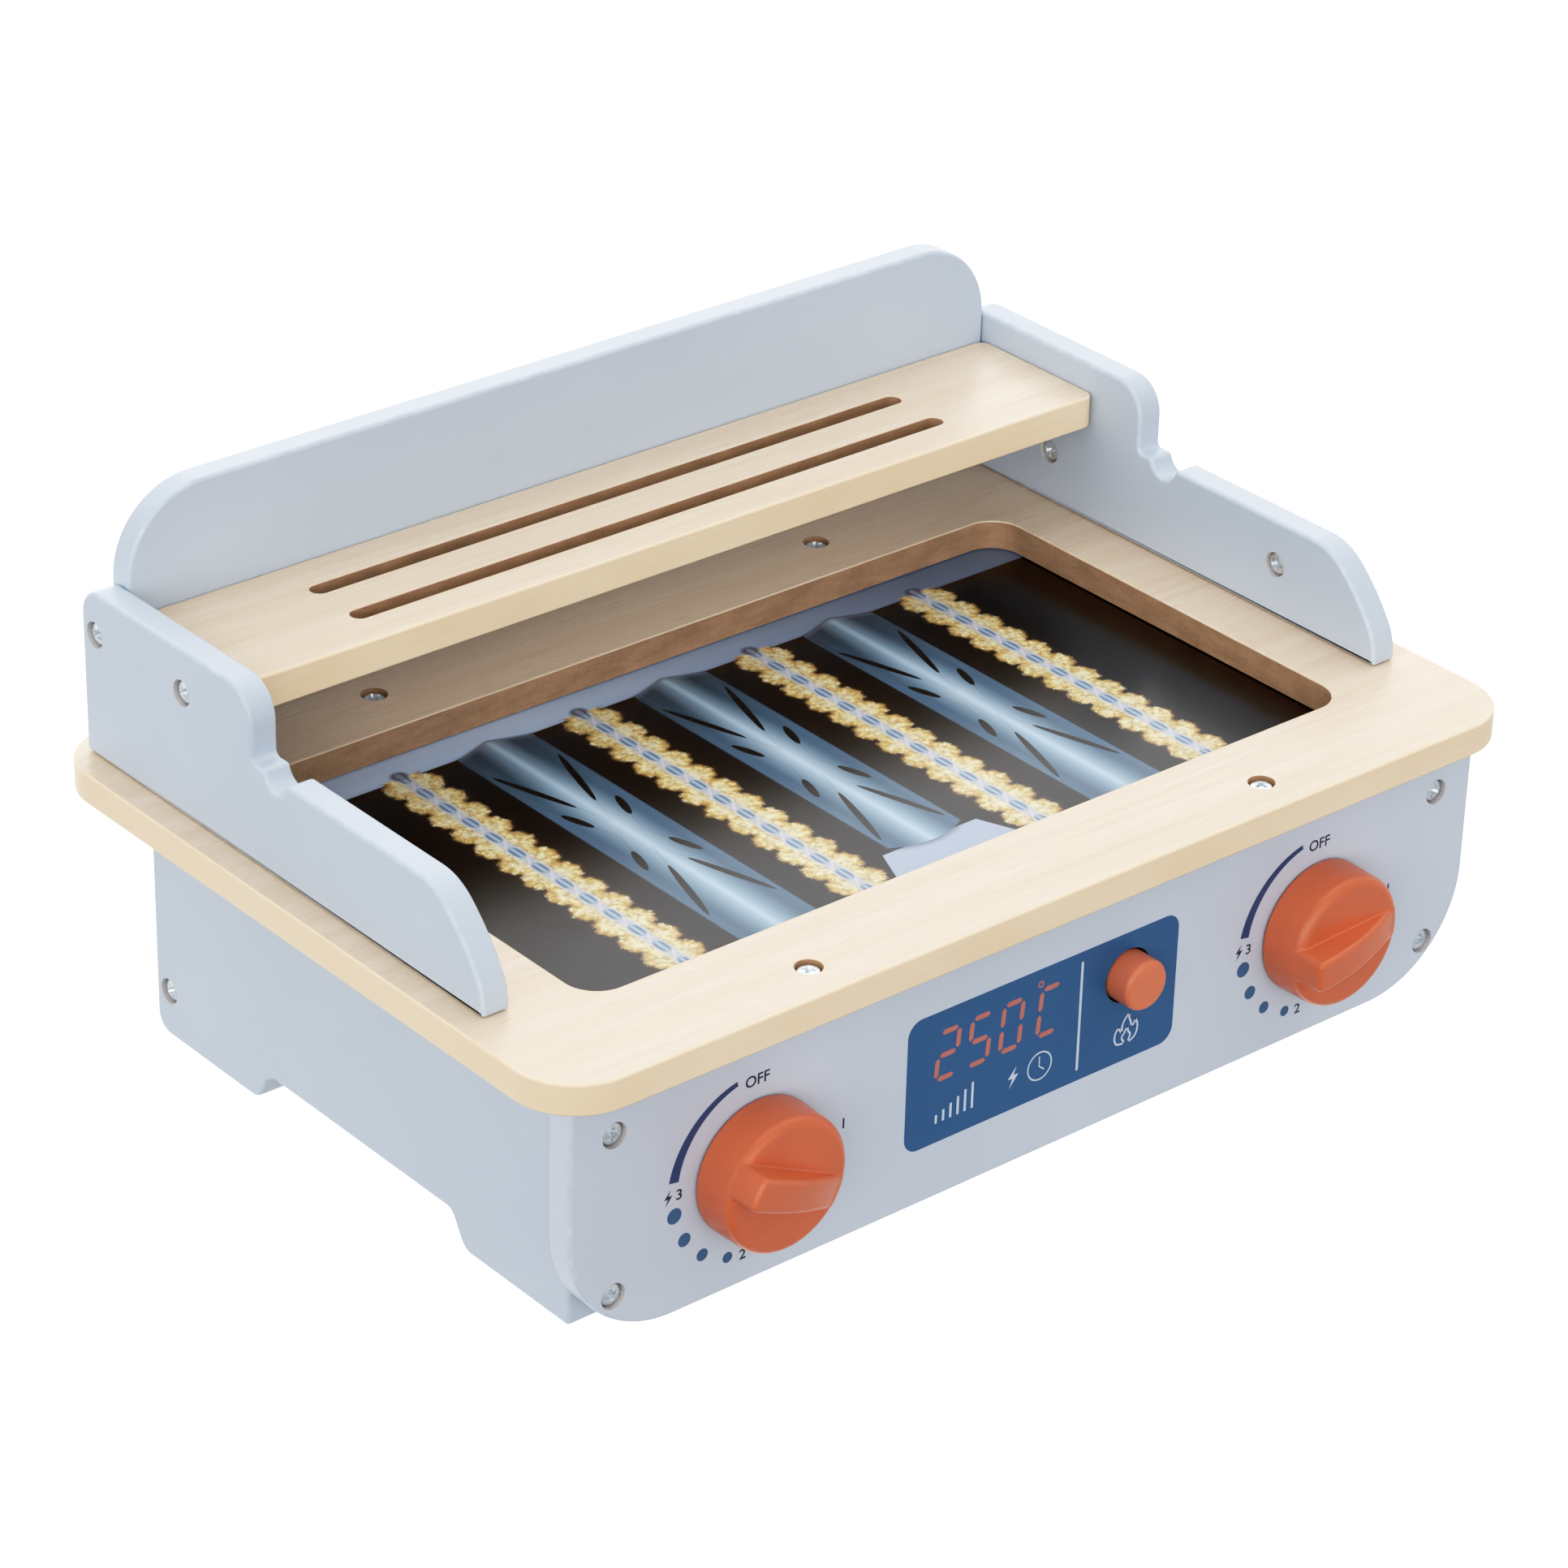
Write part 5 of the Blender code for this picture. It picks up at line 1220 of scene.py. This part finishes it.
def knob_mesh():
    face = KNOB_FACE - KNOB_BACK
    high, low = KNOB_HIGH - KNOB_BACK, KNOB_LOW - KNOB_BACK
    points, faces = [], []

    def take(p, f):
        base = len(points)
        points.extend(p)
        faces.extend(tuple(i + base for i in q) for q in f)

    take(*turned([(0, 0), (20.4, 0), (20.4, face), (0, face)], 96))
    take(*turned([(0, -11.0), (3.8, -11.0), (3.8, 1.0), (0, 1.0)], 32))
    top_line = []
    for i in range(25):
        t = -1 + 2 * i / 24
        top_line.append((t * 20.0, low + (high - low) * (t + 1) / 2 + KNOB_ARCH * (1 - t * t)))
    ring = [(-20.0, 3.0), (20.0, 3.0)] + list(reversed(top_line))
    n = len(ring)
    p = [(x, -4.8, z) for x, z in ring] + [(x, 4.8, z) for x, z in ring]
    f = [tuple(range(n)), tuple(range(2 * n - 1, n - 1, -1))]
    f += [((i + 1) % n, i, i + n, (i + 1) % n + n) for i in range(n)]
    take(p, f)
    mesh = bpy.data.meshes.new("knob_base")
    mesh.from_pydata([tuple(p) for p in points], [], faces)
    bm = bmesh.new()
    bm.from_mesh(mesh)
    bmesh.ops.recalc_face_normals(bm, faces=bm.faces)
    bm.to_mesh(mesh)
    bm.free()
    tmp = bpy.data.objects.new("knob_base", mesh)
    bpy.context.scene.collection.objects.link(tmp)
    mod = tmp.modifiers.new("voxels", "REMESH")
    mod.mode = "VOXEL"
    mod.voxel_size = 0.42
    mod.adaptivity = 0.0
    graph = bpy.context.evaluated_depsgraph_get()
    done = bpy.data.meshes.new_from_object(tmp.evaluated_get(graph))
    bpy.data.objects.remove(tmp)
    p = np.empty(len(done.vertices) * 3)
    done.vertices.foreach_get("co", p)
    p = p.reshape(-1, 3)
    for k in range(14):
        d = knob_field(p)
        g = gradient(knob_field, p)
        step = d / np.maximum((g * g).sum(1), 0.2)
        p -= g * np.clip(step, -0.35, 0.35)[:, None]
    g = gradient(knob_field, p, 0.05)
    g /= np.maximum(np.linalg.norm(g, axis=1), 1e-9)[:, None]
    # convex edges, later drawn lighter: rubbed wear with a painted highlight
    bend = -6.0 * knob_field(p)
    for k in range(3):
        d = np.zeros(3)
        d[k] = 0.2
        bend += knob_field(p + d) + knob_field(p - d)
    rub_and_highlight = np.clip((bend / 0.04 - 0.3) / 0.5, 0.0, 1.0)
    faces = [tuple(q.vertices) for q in done.polygons]
    bpy.data.meshes.remove(done)
    return p, g, rub_and_highlight, faces


KNOB_POINTS, KNOB_NORMALS, KNOB_RUB_AND_HIGHLIGHT, KNOB_FACES = knob_mesh()
for side, s in (("left", -1), ("right", 1)):
    m = Matrix.Translation(place(s * KNOB_X, PANEL_INSET, KNOB_Z) + Vector((0, -KNOB_BACK * MM, 0)))
    m = m @ TOWARDS["-y"] @ Matrix.Rotation(math.radians(KNOB_ANGLES[side]), 4, "Z")
    a = np.array(m)
    pts = (KNOB_POINTS * MM) @ a[:3, :3].T + a[:3, 3]
    nrm = KNOB_NORMALS @ a[:3, :3].T
    obj = make_object(f"knob_{side}_fine", pts.tolist(), KNOB_FACES, [ORANGE], None, nrm.tolist(), KNOB_RUB_AND_HIGHLIGHT.tolist())
    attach(obj, f"knob_{side}_body")
    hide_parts(f"knob_{side}")


# =============================================================== printed graphics
class Print:
    """Thin closed flakes of ink on the front panel's face: polygons in (x, z) mm."""

    def __init__(self, name, mat, proud, y=PANEL_INSET, root=0.05):
        self.name, self.mat, self.proud, self.y, self.root = name, mat, proud, y, root
        self.points, self.faces = [], []

    def shape(self, *loops):
        loops = [tidy(list(loop), 0.004) for loop in loops]
        loops = [l if (area(l) > 0) == (i == 0) else l[::-1] for i, l in enumerate(loops)]
        flat = [p for loop in loops for p in loop]
        base, n = len(self.points), len(flat)
        for y in (self.y - self.proud, self.y + self.root):
            self.points += [tuple(place(px, y, pz)) for px, pz in flat]
        for t in tessellate_polygon([[Vector((*p, 0.0)) for p in loop] for loop in loops]):
            (ax, ay), (bx, by), (cx, cy) = (flat[k] for k in t)
            s = (bx - ax) * (cy - ay) - (by - ay) * (cx - ax)
            if abs(s) < 1e-12:
                continue
            t = tuple(t) if s > 0 else tuple(reversed(t))
            self.faces.append(tuple(base + k for k in t))
            self.faces.append(tuple(base + n + k for k in reversed(t)))
        at = base
        for loop in loops:
            m = len(loop)
            for i in range(m):
                j = (i + 1) % m
                self.faces.append((at + j, at + i, at + n + i, at + n + j))
            at += m

    def done(self, body="grill_base"):
        mesh = bpy.data.meshes.new(self.name)
        mesh.from_pydata(self.points, [], self.faces)
        mesh.materials.append(self.mat)
        mesh.shade_flat()
        obj = bpy.data.objects.new(self.name, mesh)
        bpy.context.scene.collection.objects.link(obj)
        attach(obj, body)
        return obj


def stroke(points, width, steps=6):
    """Outline of a line with round ends."""
    h = width / 2
    left, right = [], []
    n = len(points)
    for i, p in enumerate(points):
        a = points[max(0, i - 1)]
        b = points[min(n - 1, i + 1)]
        l = math.hypot(b[0] - a[0], b[1] - a[1])
        nx, ny = -(b[1] - a[1]) / l, (b[0] - a[0]) / l
        left.append((p[0] + nx * h, p[1] + ny * h))
        right.append((p[0] - nx * h, p[1] - ny * h))
    def round_end(p, q, out):
        a0 = math.degrees(math.atan2(p[1] - q[1], p[0] - q[0]))
        c = ((p[0] + q[0]) / 2, (p[1] + q[1]) / 2)
        return arc(c[0], c[1], h, a0, a0 - 180, steps)[1:-1]
    return left + round_end(left[-1], right[-1], 1) + right[::-1] + round_end(right[0], left[0], 1)


Z_UP = 3.03

# ---- display window
window = Print("display_print", INK_BLUE, 0.03)
window.shape(rounded(-50.8, 15.1 + Z_UP, 49.2, 56.8 + Z_UP, [5.0] * 4, 0.25), circle(BUTTON_X, BUTTON_Z, BUTTON_HOLE_R + 0.05, 72))
window.done()

SEGMENTS = {"0": "abcdef", "1": "bc", "2": "abged", "3": "abgcd", "5": "afgcd", "6": "afgedc", "8": "abcdefg", "C": "afed"}


def segment(kind, x0, z0, w, h, t, lean):
    """One hexagonal bar of a seven-segment figure."""
    m = z0 + h / 2
    g = t * 0.34
    bars = {
        "a": ((x0, z0 + h), (x0 + w, z0 + h)), "g": ((x0, m), (x0 + w, m)), "d": ((x0, z0), (x0 + w, z0)),
        "f": ((x0, m), (x0, z0 + h)), "e": ((x0, z0), (x0, m)), "b": ((x0 + w, m), (x0 + w, z0 + h)), "c": ((x0 + w, z0), (x0 + w, m)),
    }
    (ax, az), (bx, bz) = bars[kind]
    l = math.hypot(bx - ax, bz - az)
    dx, dz = (bx - ax) / l, (bz - az) / l
    ax, az, bx, bz = ax + dx * g, az + dz * g, bx - dx * g, bz - dz * g
    n = (-dz, dx)
    k = t / 2
    pts = [(ax, az), (ax + dx * k + n[0] * k, az + dz * k + n[1] * k), (bx - dx * k + n[0] * k, bz - dz * k + n[1] * k), (bx, bz), (bx - dx * k - n[0] * k, bz - dz * k - n[1] * k), (ax + dx * k - n[0] * k, az + dz * k - n[1] * k)]
    return [(px + (pz - z0) * lean, pz) for px, pz in pts]


digits = Print("display_digits", INK_ORANGE, 0.055)
z0, hgt, lean = 35.3 + Z_UP, 14.4, 0.085
for glyph, gx in (("2", -40.2), ("5", -28.6), ("0", -17.0), ("C", -3.2)):
    for seg in SEGMENTS[glyph]:
        digits.shape(segment(seg, gx, z0, 6.9, hgt, 1.6, lean))
digits.shape(circle(-2.6, 51.9 + Z_UP, 1.1, 28), circle(-2.6, 51.9 + Z_UP, 0.6, 28))
digits.done()

marks = Print("display_marks", INK_WHITE, 0.055)
marks.shape(rounded(12.25, 18.5 + Z_UP, 13.15, 53.5 + Z_UP, [0.3] * 4, 0.1))
for i in range(6):
    bx = -39.5 + i * 2.62
    top_z = 24.0 + i * (28.4 - 24.0) / 5 * (1 + 0.08 * i) / 1.4 + 0.0
    marks.shape(rounded(bx - 0.42, 21.3 + Z_UP - 0.0, bx + 0.42, top_z + Z_UP + 0.25 * i, [0.15] * 4, 0.1))
# bolt
bolt = [(1.2, 3.3), (-1.9, -0.3), (-0.1, -0.3), (-1.3, -3.3), (2.0, 0.7), (0.2, 0.7)]
marks.shape([(-11.5 + px, 25.4 + Z_UP + pz) for px, pz in bolt])
# clock
cx, cz = -1.6, 25.4 + Z_UP
marks.shape(circle(cx, cz, 4.6, 56), circle(cx, cz, 4.12, 56))
marks.shape(stroke([(cx - 0.2, cz + 2.9), (cx - 0.2, cz - 0.1), (cx + 1.6, cz - 1.5)], 0.42))


# flame: two licks drawn as one open line
def smooth_line(points, per=8):
    """Catmull-Rom curve through the points."""
    out = []
    p = [points[0]] + list(points) + [points[-1]]
    for i in range(1, len(p) - 2):
        for k in range(per):
            t = k / per
            out.append(tuple(0.5 * (2 * p[i][c] + (p[i + 1][c] - p[i - 1][c]) * t + (2 * p[i - 1][c] - 5 * p[i][c] + 4 * p[i + 1][c] - p[i + 2][c]) * t * t + (3 * p[i][c] - p[i - 1][c] - 3 * p[i + 1][c] + p[i + 2][c]) * t ** 3) for c in (0, 1)))
    out.append(points[-1])
    return out


fx, fz = 31.0, 25.2 + Z_UP


def flame_line(*points):
    marks.shape(stroke([(fx + px, fz + pz) for px, pz in smooth_line(points)], 0.64))


flame_line((-1.2, -4.4), (-3.4, -3.9), (-4.3, -2.0), (-3.9, 0.2), (-2.7, 1.4))
flame_line((-2.7, 1.4), (-2.3, 0.1), (-1.5, -0.6))
flame_line((-1.5, -0.6), (-1.5, 1.6), (-0.6, 3.4), (1.0, 4.9))
flame_line((1.0, 4.9), (1.0, 3.4), (1.7, 1.7), (2.0, 0.2))
flame_line((2.0, 0.2), (3.0, 0.9), (3.4, 2.2))
flame_line((3.4, 2.2), (4.3, 0.4), (4.2, -1.9), (3.2, -3.6), (1.6, -4.4))
flame_line((-0.7, -3.9), (-1.5, -2.4), (-0.6, -1.0), (0.5, 0.6))
flame_line((0.5, 0.6), (0.9, -1.0), (1.7, -2.2), (1.1, -3.9))
marks.done()

# ---- dials
arcs = Print("dial_arcs", INK_NAVY, 0.03)
dots = Print("dial_dots", INK_DOT, 0.03)
bolts = Print("dial_bolts", INK_GREY, 0.03)
for s in (-1, 1):
    cx, cz = s * KNOB_X, KNOB_Z
    outer, inner_line = [], []
    for i in range(41):
        a = 170 + (103.5 - 170) * i / 40
        w = 3.3 + (1.5 - 3.3) * i / 40
        outer.append((cx + (28 + w / 2) * math.cos(math.radians(a)), cz + (28 + w / 2) * math.sin(math.radians(a))))
        inner_line.append((cx + (28 - w / 2) * math.cos(math.radians(a)), cz + (28 - w / 2) * math.sin(math.radians(a))))
    arcs.shape(outer + inner_line[::-1])
    for dx, dz, d in ((-27.2, -5.6, 4.8), (-23.7, -14.4, 4.2), (-17.5, -21.6, 3.8), (-8.8, -26.0, 3.3)):
        dots.shape(circle(cx + dx, cz + dz, d / 2, 40))
    bolts.shape([(cx - 29.4 + px * 0.70, cz + 0.7 + pz * 0.73) for px, pz in bolt])
arcs.done()
dots.done()
bolts.done()


def letters(name, text, x, z, height, mat, proud=0.03, squeeze=1.0, bold=0.012):
    """Raised text of the built-in sans face, as a thin closed mesh on the panel's face."""
    curve = bpy.data.curves.new(name, "FONT")
    curve.body = text
    curve.size = 1.0
    curve.align_x, curve.align_y = "CENTER", "CENTER"
    curve.extrude = 0.5
    curve.offset = bold
    curve.resolution_u = 6
    tmp = bpy.data.objects.new(name, curve)
    bpy.context.scene.collection.objects.link(tmp)
    graph = bpy.context.evaluated_depsgraph_get()
    mesh = bpy.data.meshes.new_from_object(tmp.evaluated_get(graph))
    bpy.data.objects.remove(tmp)
    co = np.empty(len(mesh.vertices) * 3)
    mesh.vertices.foreach_get("co", co)
    co = co.reshape(-1, 3)
    lo, hi = co.min(0), co.max(0)
    k = height / (hi[1] - lo[1])
    depth = np.where(co[:, 2] > 0, -proud, 0.05)
    out = np.stack([(co[:, 0] - (lo[0] + hi[0]) / 2) * k * squeeze + x, depth + PANEL_INSET - Y_MID, (co[:, 1] - (lo[1] + hi[1]) / 2) * k + z], 1) * MM
    mesh.vertices.foreach_set("co", out.astype(np.float32).ravel())
    mesh.name = name
    mesh.materials.clear()
    mesh.materials.append(mat)
    bm = bmesh.new()
    bm.from_mesh(mesh)
    bmesh.ops.remove_doubles(bm, verts=bm.verts, dist=1e-7)
    bmesh.ops.recalc_face_normals(bm, faces=bm.faces)
    bm.to_mesh(mesh)
    bm.free()
    mesh.shade_flat()
    obj = bpy.data.objects.new(name, mesh)
    bpy.context.scene.collection.objects.link(obj)
    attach(obj, "grill_base")
    return obj


for side, s in (("left", -1), ("right", 1)):
    cx, cz = s * KNOB_X, KNOB_Z
    letters(f"dial_off_{side}", "OFF", cx + 0.2, 59.8 + Z_UP, 3.45, INK_GREY)
    letters(f"dial_three_{side}", "3", cx - 25.7, cz + 0.7, 3.2, INK_GREY, squeeze=1.1)
    letters(f"dial_two_{side}", "2", cx - 3.6, cz - 27.0, 3.2, INK_GREY, squeeze=1.1)
    letters(f"dial_one_{side}", "1", cx + 30.6, cz + 0.8, 3.2, INK_GREY, squeeze=1.1)


# =============================================================== carried-over nodes
CARRIED = {
    "tray_board": TRAY,
    "cleat_left": BEECH, "cleat_right": BEECH,
    "knob_screw_left": ZINC, "knob_screw_right": ZINC,
    "knob_washer_left": ZINC, "knob_washer_right": ZINC,
    "housing_screw_a": ZINC, "housing_screw_b": ZINC,
    "button_housing": WHITE,
}
for n, mat in CARRIED.items():
    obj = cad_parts[n]
    if not obj.material_slots:
        obj.data.materials.append(mat)
    for ms in obj.material_slots:
        ms.material = mat
for n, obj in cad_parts.items():
    if n not in CARRIED and not obj.hide_render:
        for ms in obj.material_slots:
            ms.material = PAINT


# ============================================================ floor, light, camera
def plane(name, size, z, mat):
    mesh = bpy.data.meshes.new(name)
    mesh.from_pydata([(-size, -size, z), (size, -size, z), (size, size, z), (-size, size, z)], [], [(0, 1, 2, 3)])
    mesh.materials.append(mat)
    obj = bpy.data.objects.new(name, mesh)
    bpy.context.scene.collection.objects.link(obj)
    return obj


t = Tree("studio_floor")
soft = t.noise(t.scaled(1, 1, 1), 1.5, 2.0, 0.5)
t.set(Base_Color=t.mix(t.span(soft, 0.3, 0.7), (0.10, 0.10, 0.10), (0.12, 0.12, 0.12)))
t.bsdf.inputs["Roughness"].default_value = 0.9
t.bsdf.inputs["Specular IOR Level"].default_value = 0.0
t.bsdf.inputs["Emission Color"].default_value = (1.0, 1.0, 1.0, 1.0)
t.bsdf.inputs["Emission Strength"].default_value = 2.0
floor = plane("studio_floor", 30.0, -0.00002, t.mat)

# the floor is only a backdrop: below the horizon the tent itself lights the object
floor.visible_diffuse = False
floor.visible_glossy = False

# a white tent: its brightness goes by height (below the horizon, low wall, high wall, roof) and by bearing
world = bpy.data.worlds.new("studio")
bpy.context.scene.world = world
world.use_nodes = True
wn = world.node_tree
bg = wn.nodes["Background"]
split = wn.nodes.new("ShaderNodeSeparateXYZ")
wn.links.new(wn.nodes.new("ShaderNodeTexCoord").outputs["Generated"], split.inputs[0])


def wmath(op, a, b=0.0):
    n = wn.nodes.new("ShaderNodeMath")
    n.operation = op
    for socket, value in zip(n.inputs, (a, b)):
        if isinstance(value, bpy.types.NodeSocket):
            wn.links.new(value, socket)
        else:
            socket.default_value = value
    return n.outputs[0]


def rise(start, end):
    """0 to 1 as a direction climbs."""
    m = wn.nodes.new("ShaderNodeMapRange")
    m.interpolation_type = "SMOOTHSTEP"
    wn.links.new(split.outputs[2], m.inputs["Value"])
    m.inputs["From Min"].default_value = start
    m.inputs["From Max"].default_value = end
    return m.outputs["Result"]


bearing = wmath("ADD", wmath("DIVIDE", wmath("ARCTAN2", split.outputs[1], split.outputs[0]), math.tau), 0.5)


def around(levels):
    """Brightness by bearing, one level every 60 degrees from -180."""
    n = wn.nodes.new("ShaderNodeValToRGB")
    wn.links.new(bearing, n.inputs[0])
    e = n.color_ramp.elements
    while len(e) < len(levels) + 1:
        e.new(0.5)
    for k, item in enumerate(e):
        v = levels[k % len(levels)] / TENT_SCALE
        item.position = k / len(levels)
        item.color = (v, v, v, 1.0)
    return wmath("MULTIPLY", n.outputs[0], TENT_SCALE)


horizon, knee, crown = rise(-0.12, 0.08), rise(0.50, 0.66), rise(0.84, 0.95)
total = wmath("MULTIPLY", wmath("SUBTRACT", 1.0, horizon), around(TENT_BELOW))
total = wmath("ADD", total, wmath("MULTIPLY", wmath("SUBTRACT", horizon, knee), around(TENT_LOW)))
total = wmath("ADD", total, wmath("MULTIPLY", wmath("SUBTRACT", knee, crown), around(TENT_HIGH)))
total = wmath("ADD", total, wmath("MULTIPLY", crown, TENT_ROOF))
wn.links.new(total, bg.inputs["Strength"])
bg.inputs["Color"].default_value = (1.0, 1.0, 1.0, 1.0)

RX, RY, RZ = 0.5004282320843082, 0.02722403422190407, 0.7081028846759986
ca, sa = math.cos(RZ), math.sin(RZ)
cp, sp = math.cos(RX), math.sin(RX)
cr, sr = math.cos(RY), math.sin(RY)
turn_z = Matrix(((ca, -sa, 0), (sa, ca, 0), (0, 0, 1)))
look = Matrix(((1, 0, 0), (0, 0, -1), (0, 1, 0)))
pitch = Matrix(((1, 0, 0), (0, cp, -sp), (0, sp, cp)))
roll = Matrix(((cr, -sr, 0), (sr, cr, 0), (0, 0, 1)))
R = roll @ pitch @ look @ turn_z
cam_data = bpy.data.cameras.new("camera")
cam = bpy.data.objects.new("camera", cam_data)
bpy.context.scene.collection.objects.link(cam)
cam.matrix_world = Matrix(
    (
        (R[0][0], -R[1][0], -R[2][0], -0.8600705),
        (R[0][1], -R[1][1], -R[2][1], -0.9929954),
        (R[0][2], -R[1][2], -R[2][2], 0.7902252),
        (0, 0, 0, 1),
    )
)
cam_data.sensor_fit = "HORIZONTAL"
cam_data.sensor_width = 36.0
cam_data.lens = 120.799
cam_data.clip_start, cam_data.clip_end = 0.05, 200.0
bpy.context.scene.camera = cam

view = bpy.context.scene.view_settings
view.view_transform = "Standard"
view.look = "None"
view.exposure = 0.0
view.gamma = 1.0
# the photograph's soft shoulder and toe
view.use_curve_mapping = True
tone = view.curve_mapping
tone.white_level = (TONE_WHITE, TONE_WHITE, TONE_WHITE)
line = tone.curves[3]
for seen, shown in TONE[1:-1]:
    line.points.new(seen / TONE_WHITE, shown)
tone.update()

bpy.context.view_layer.update()
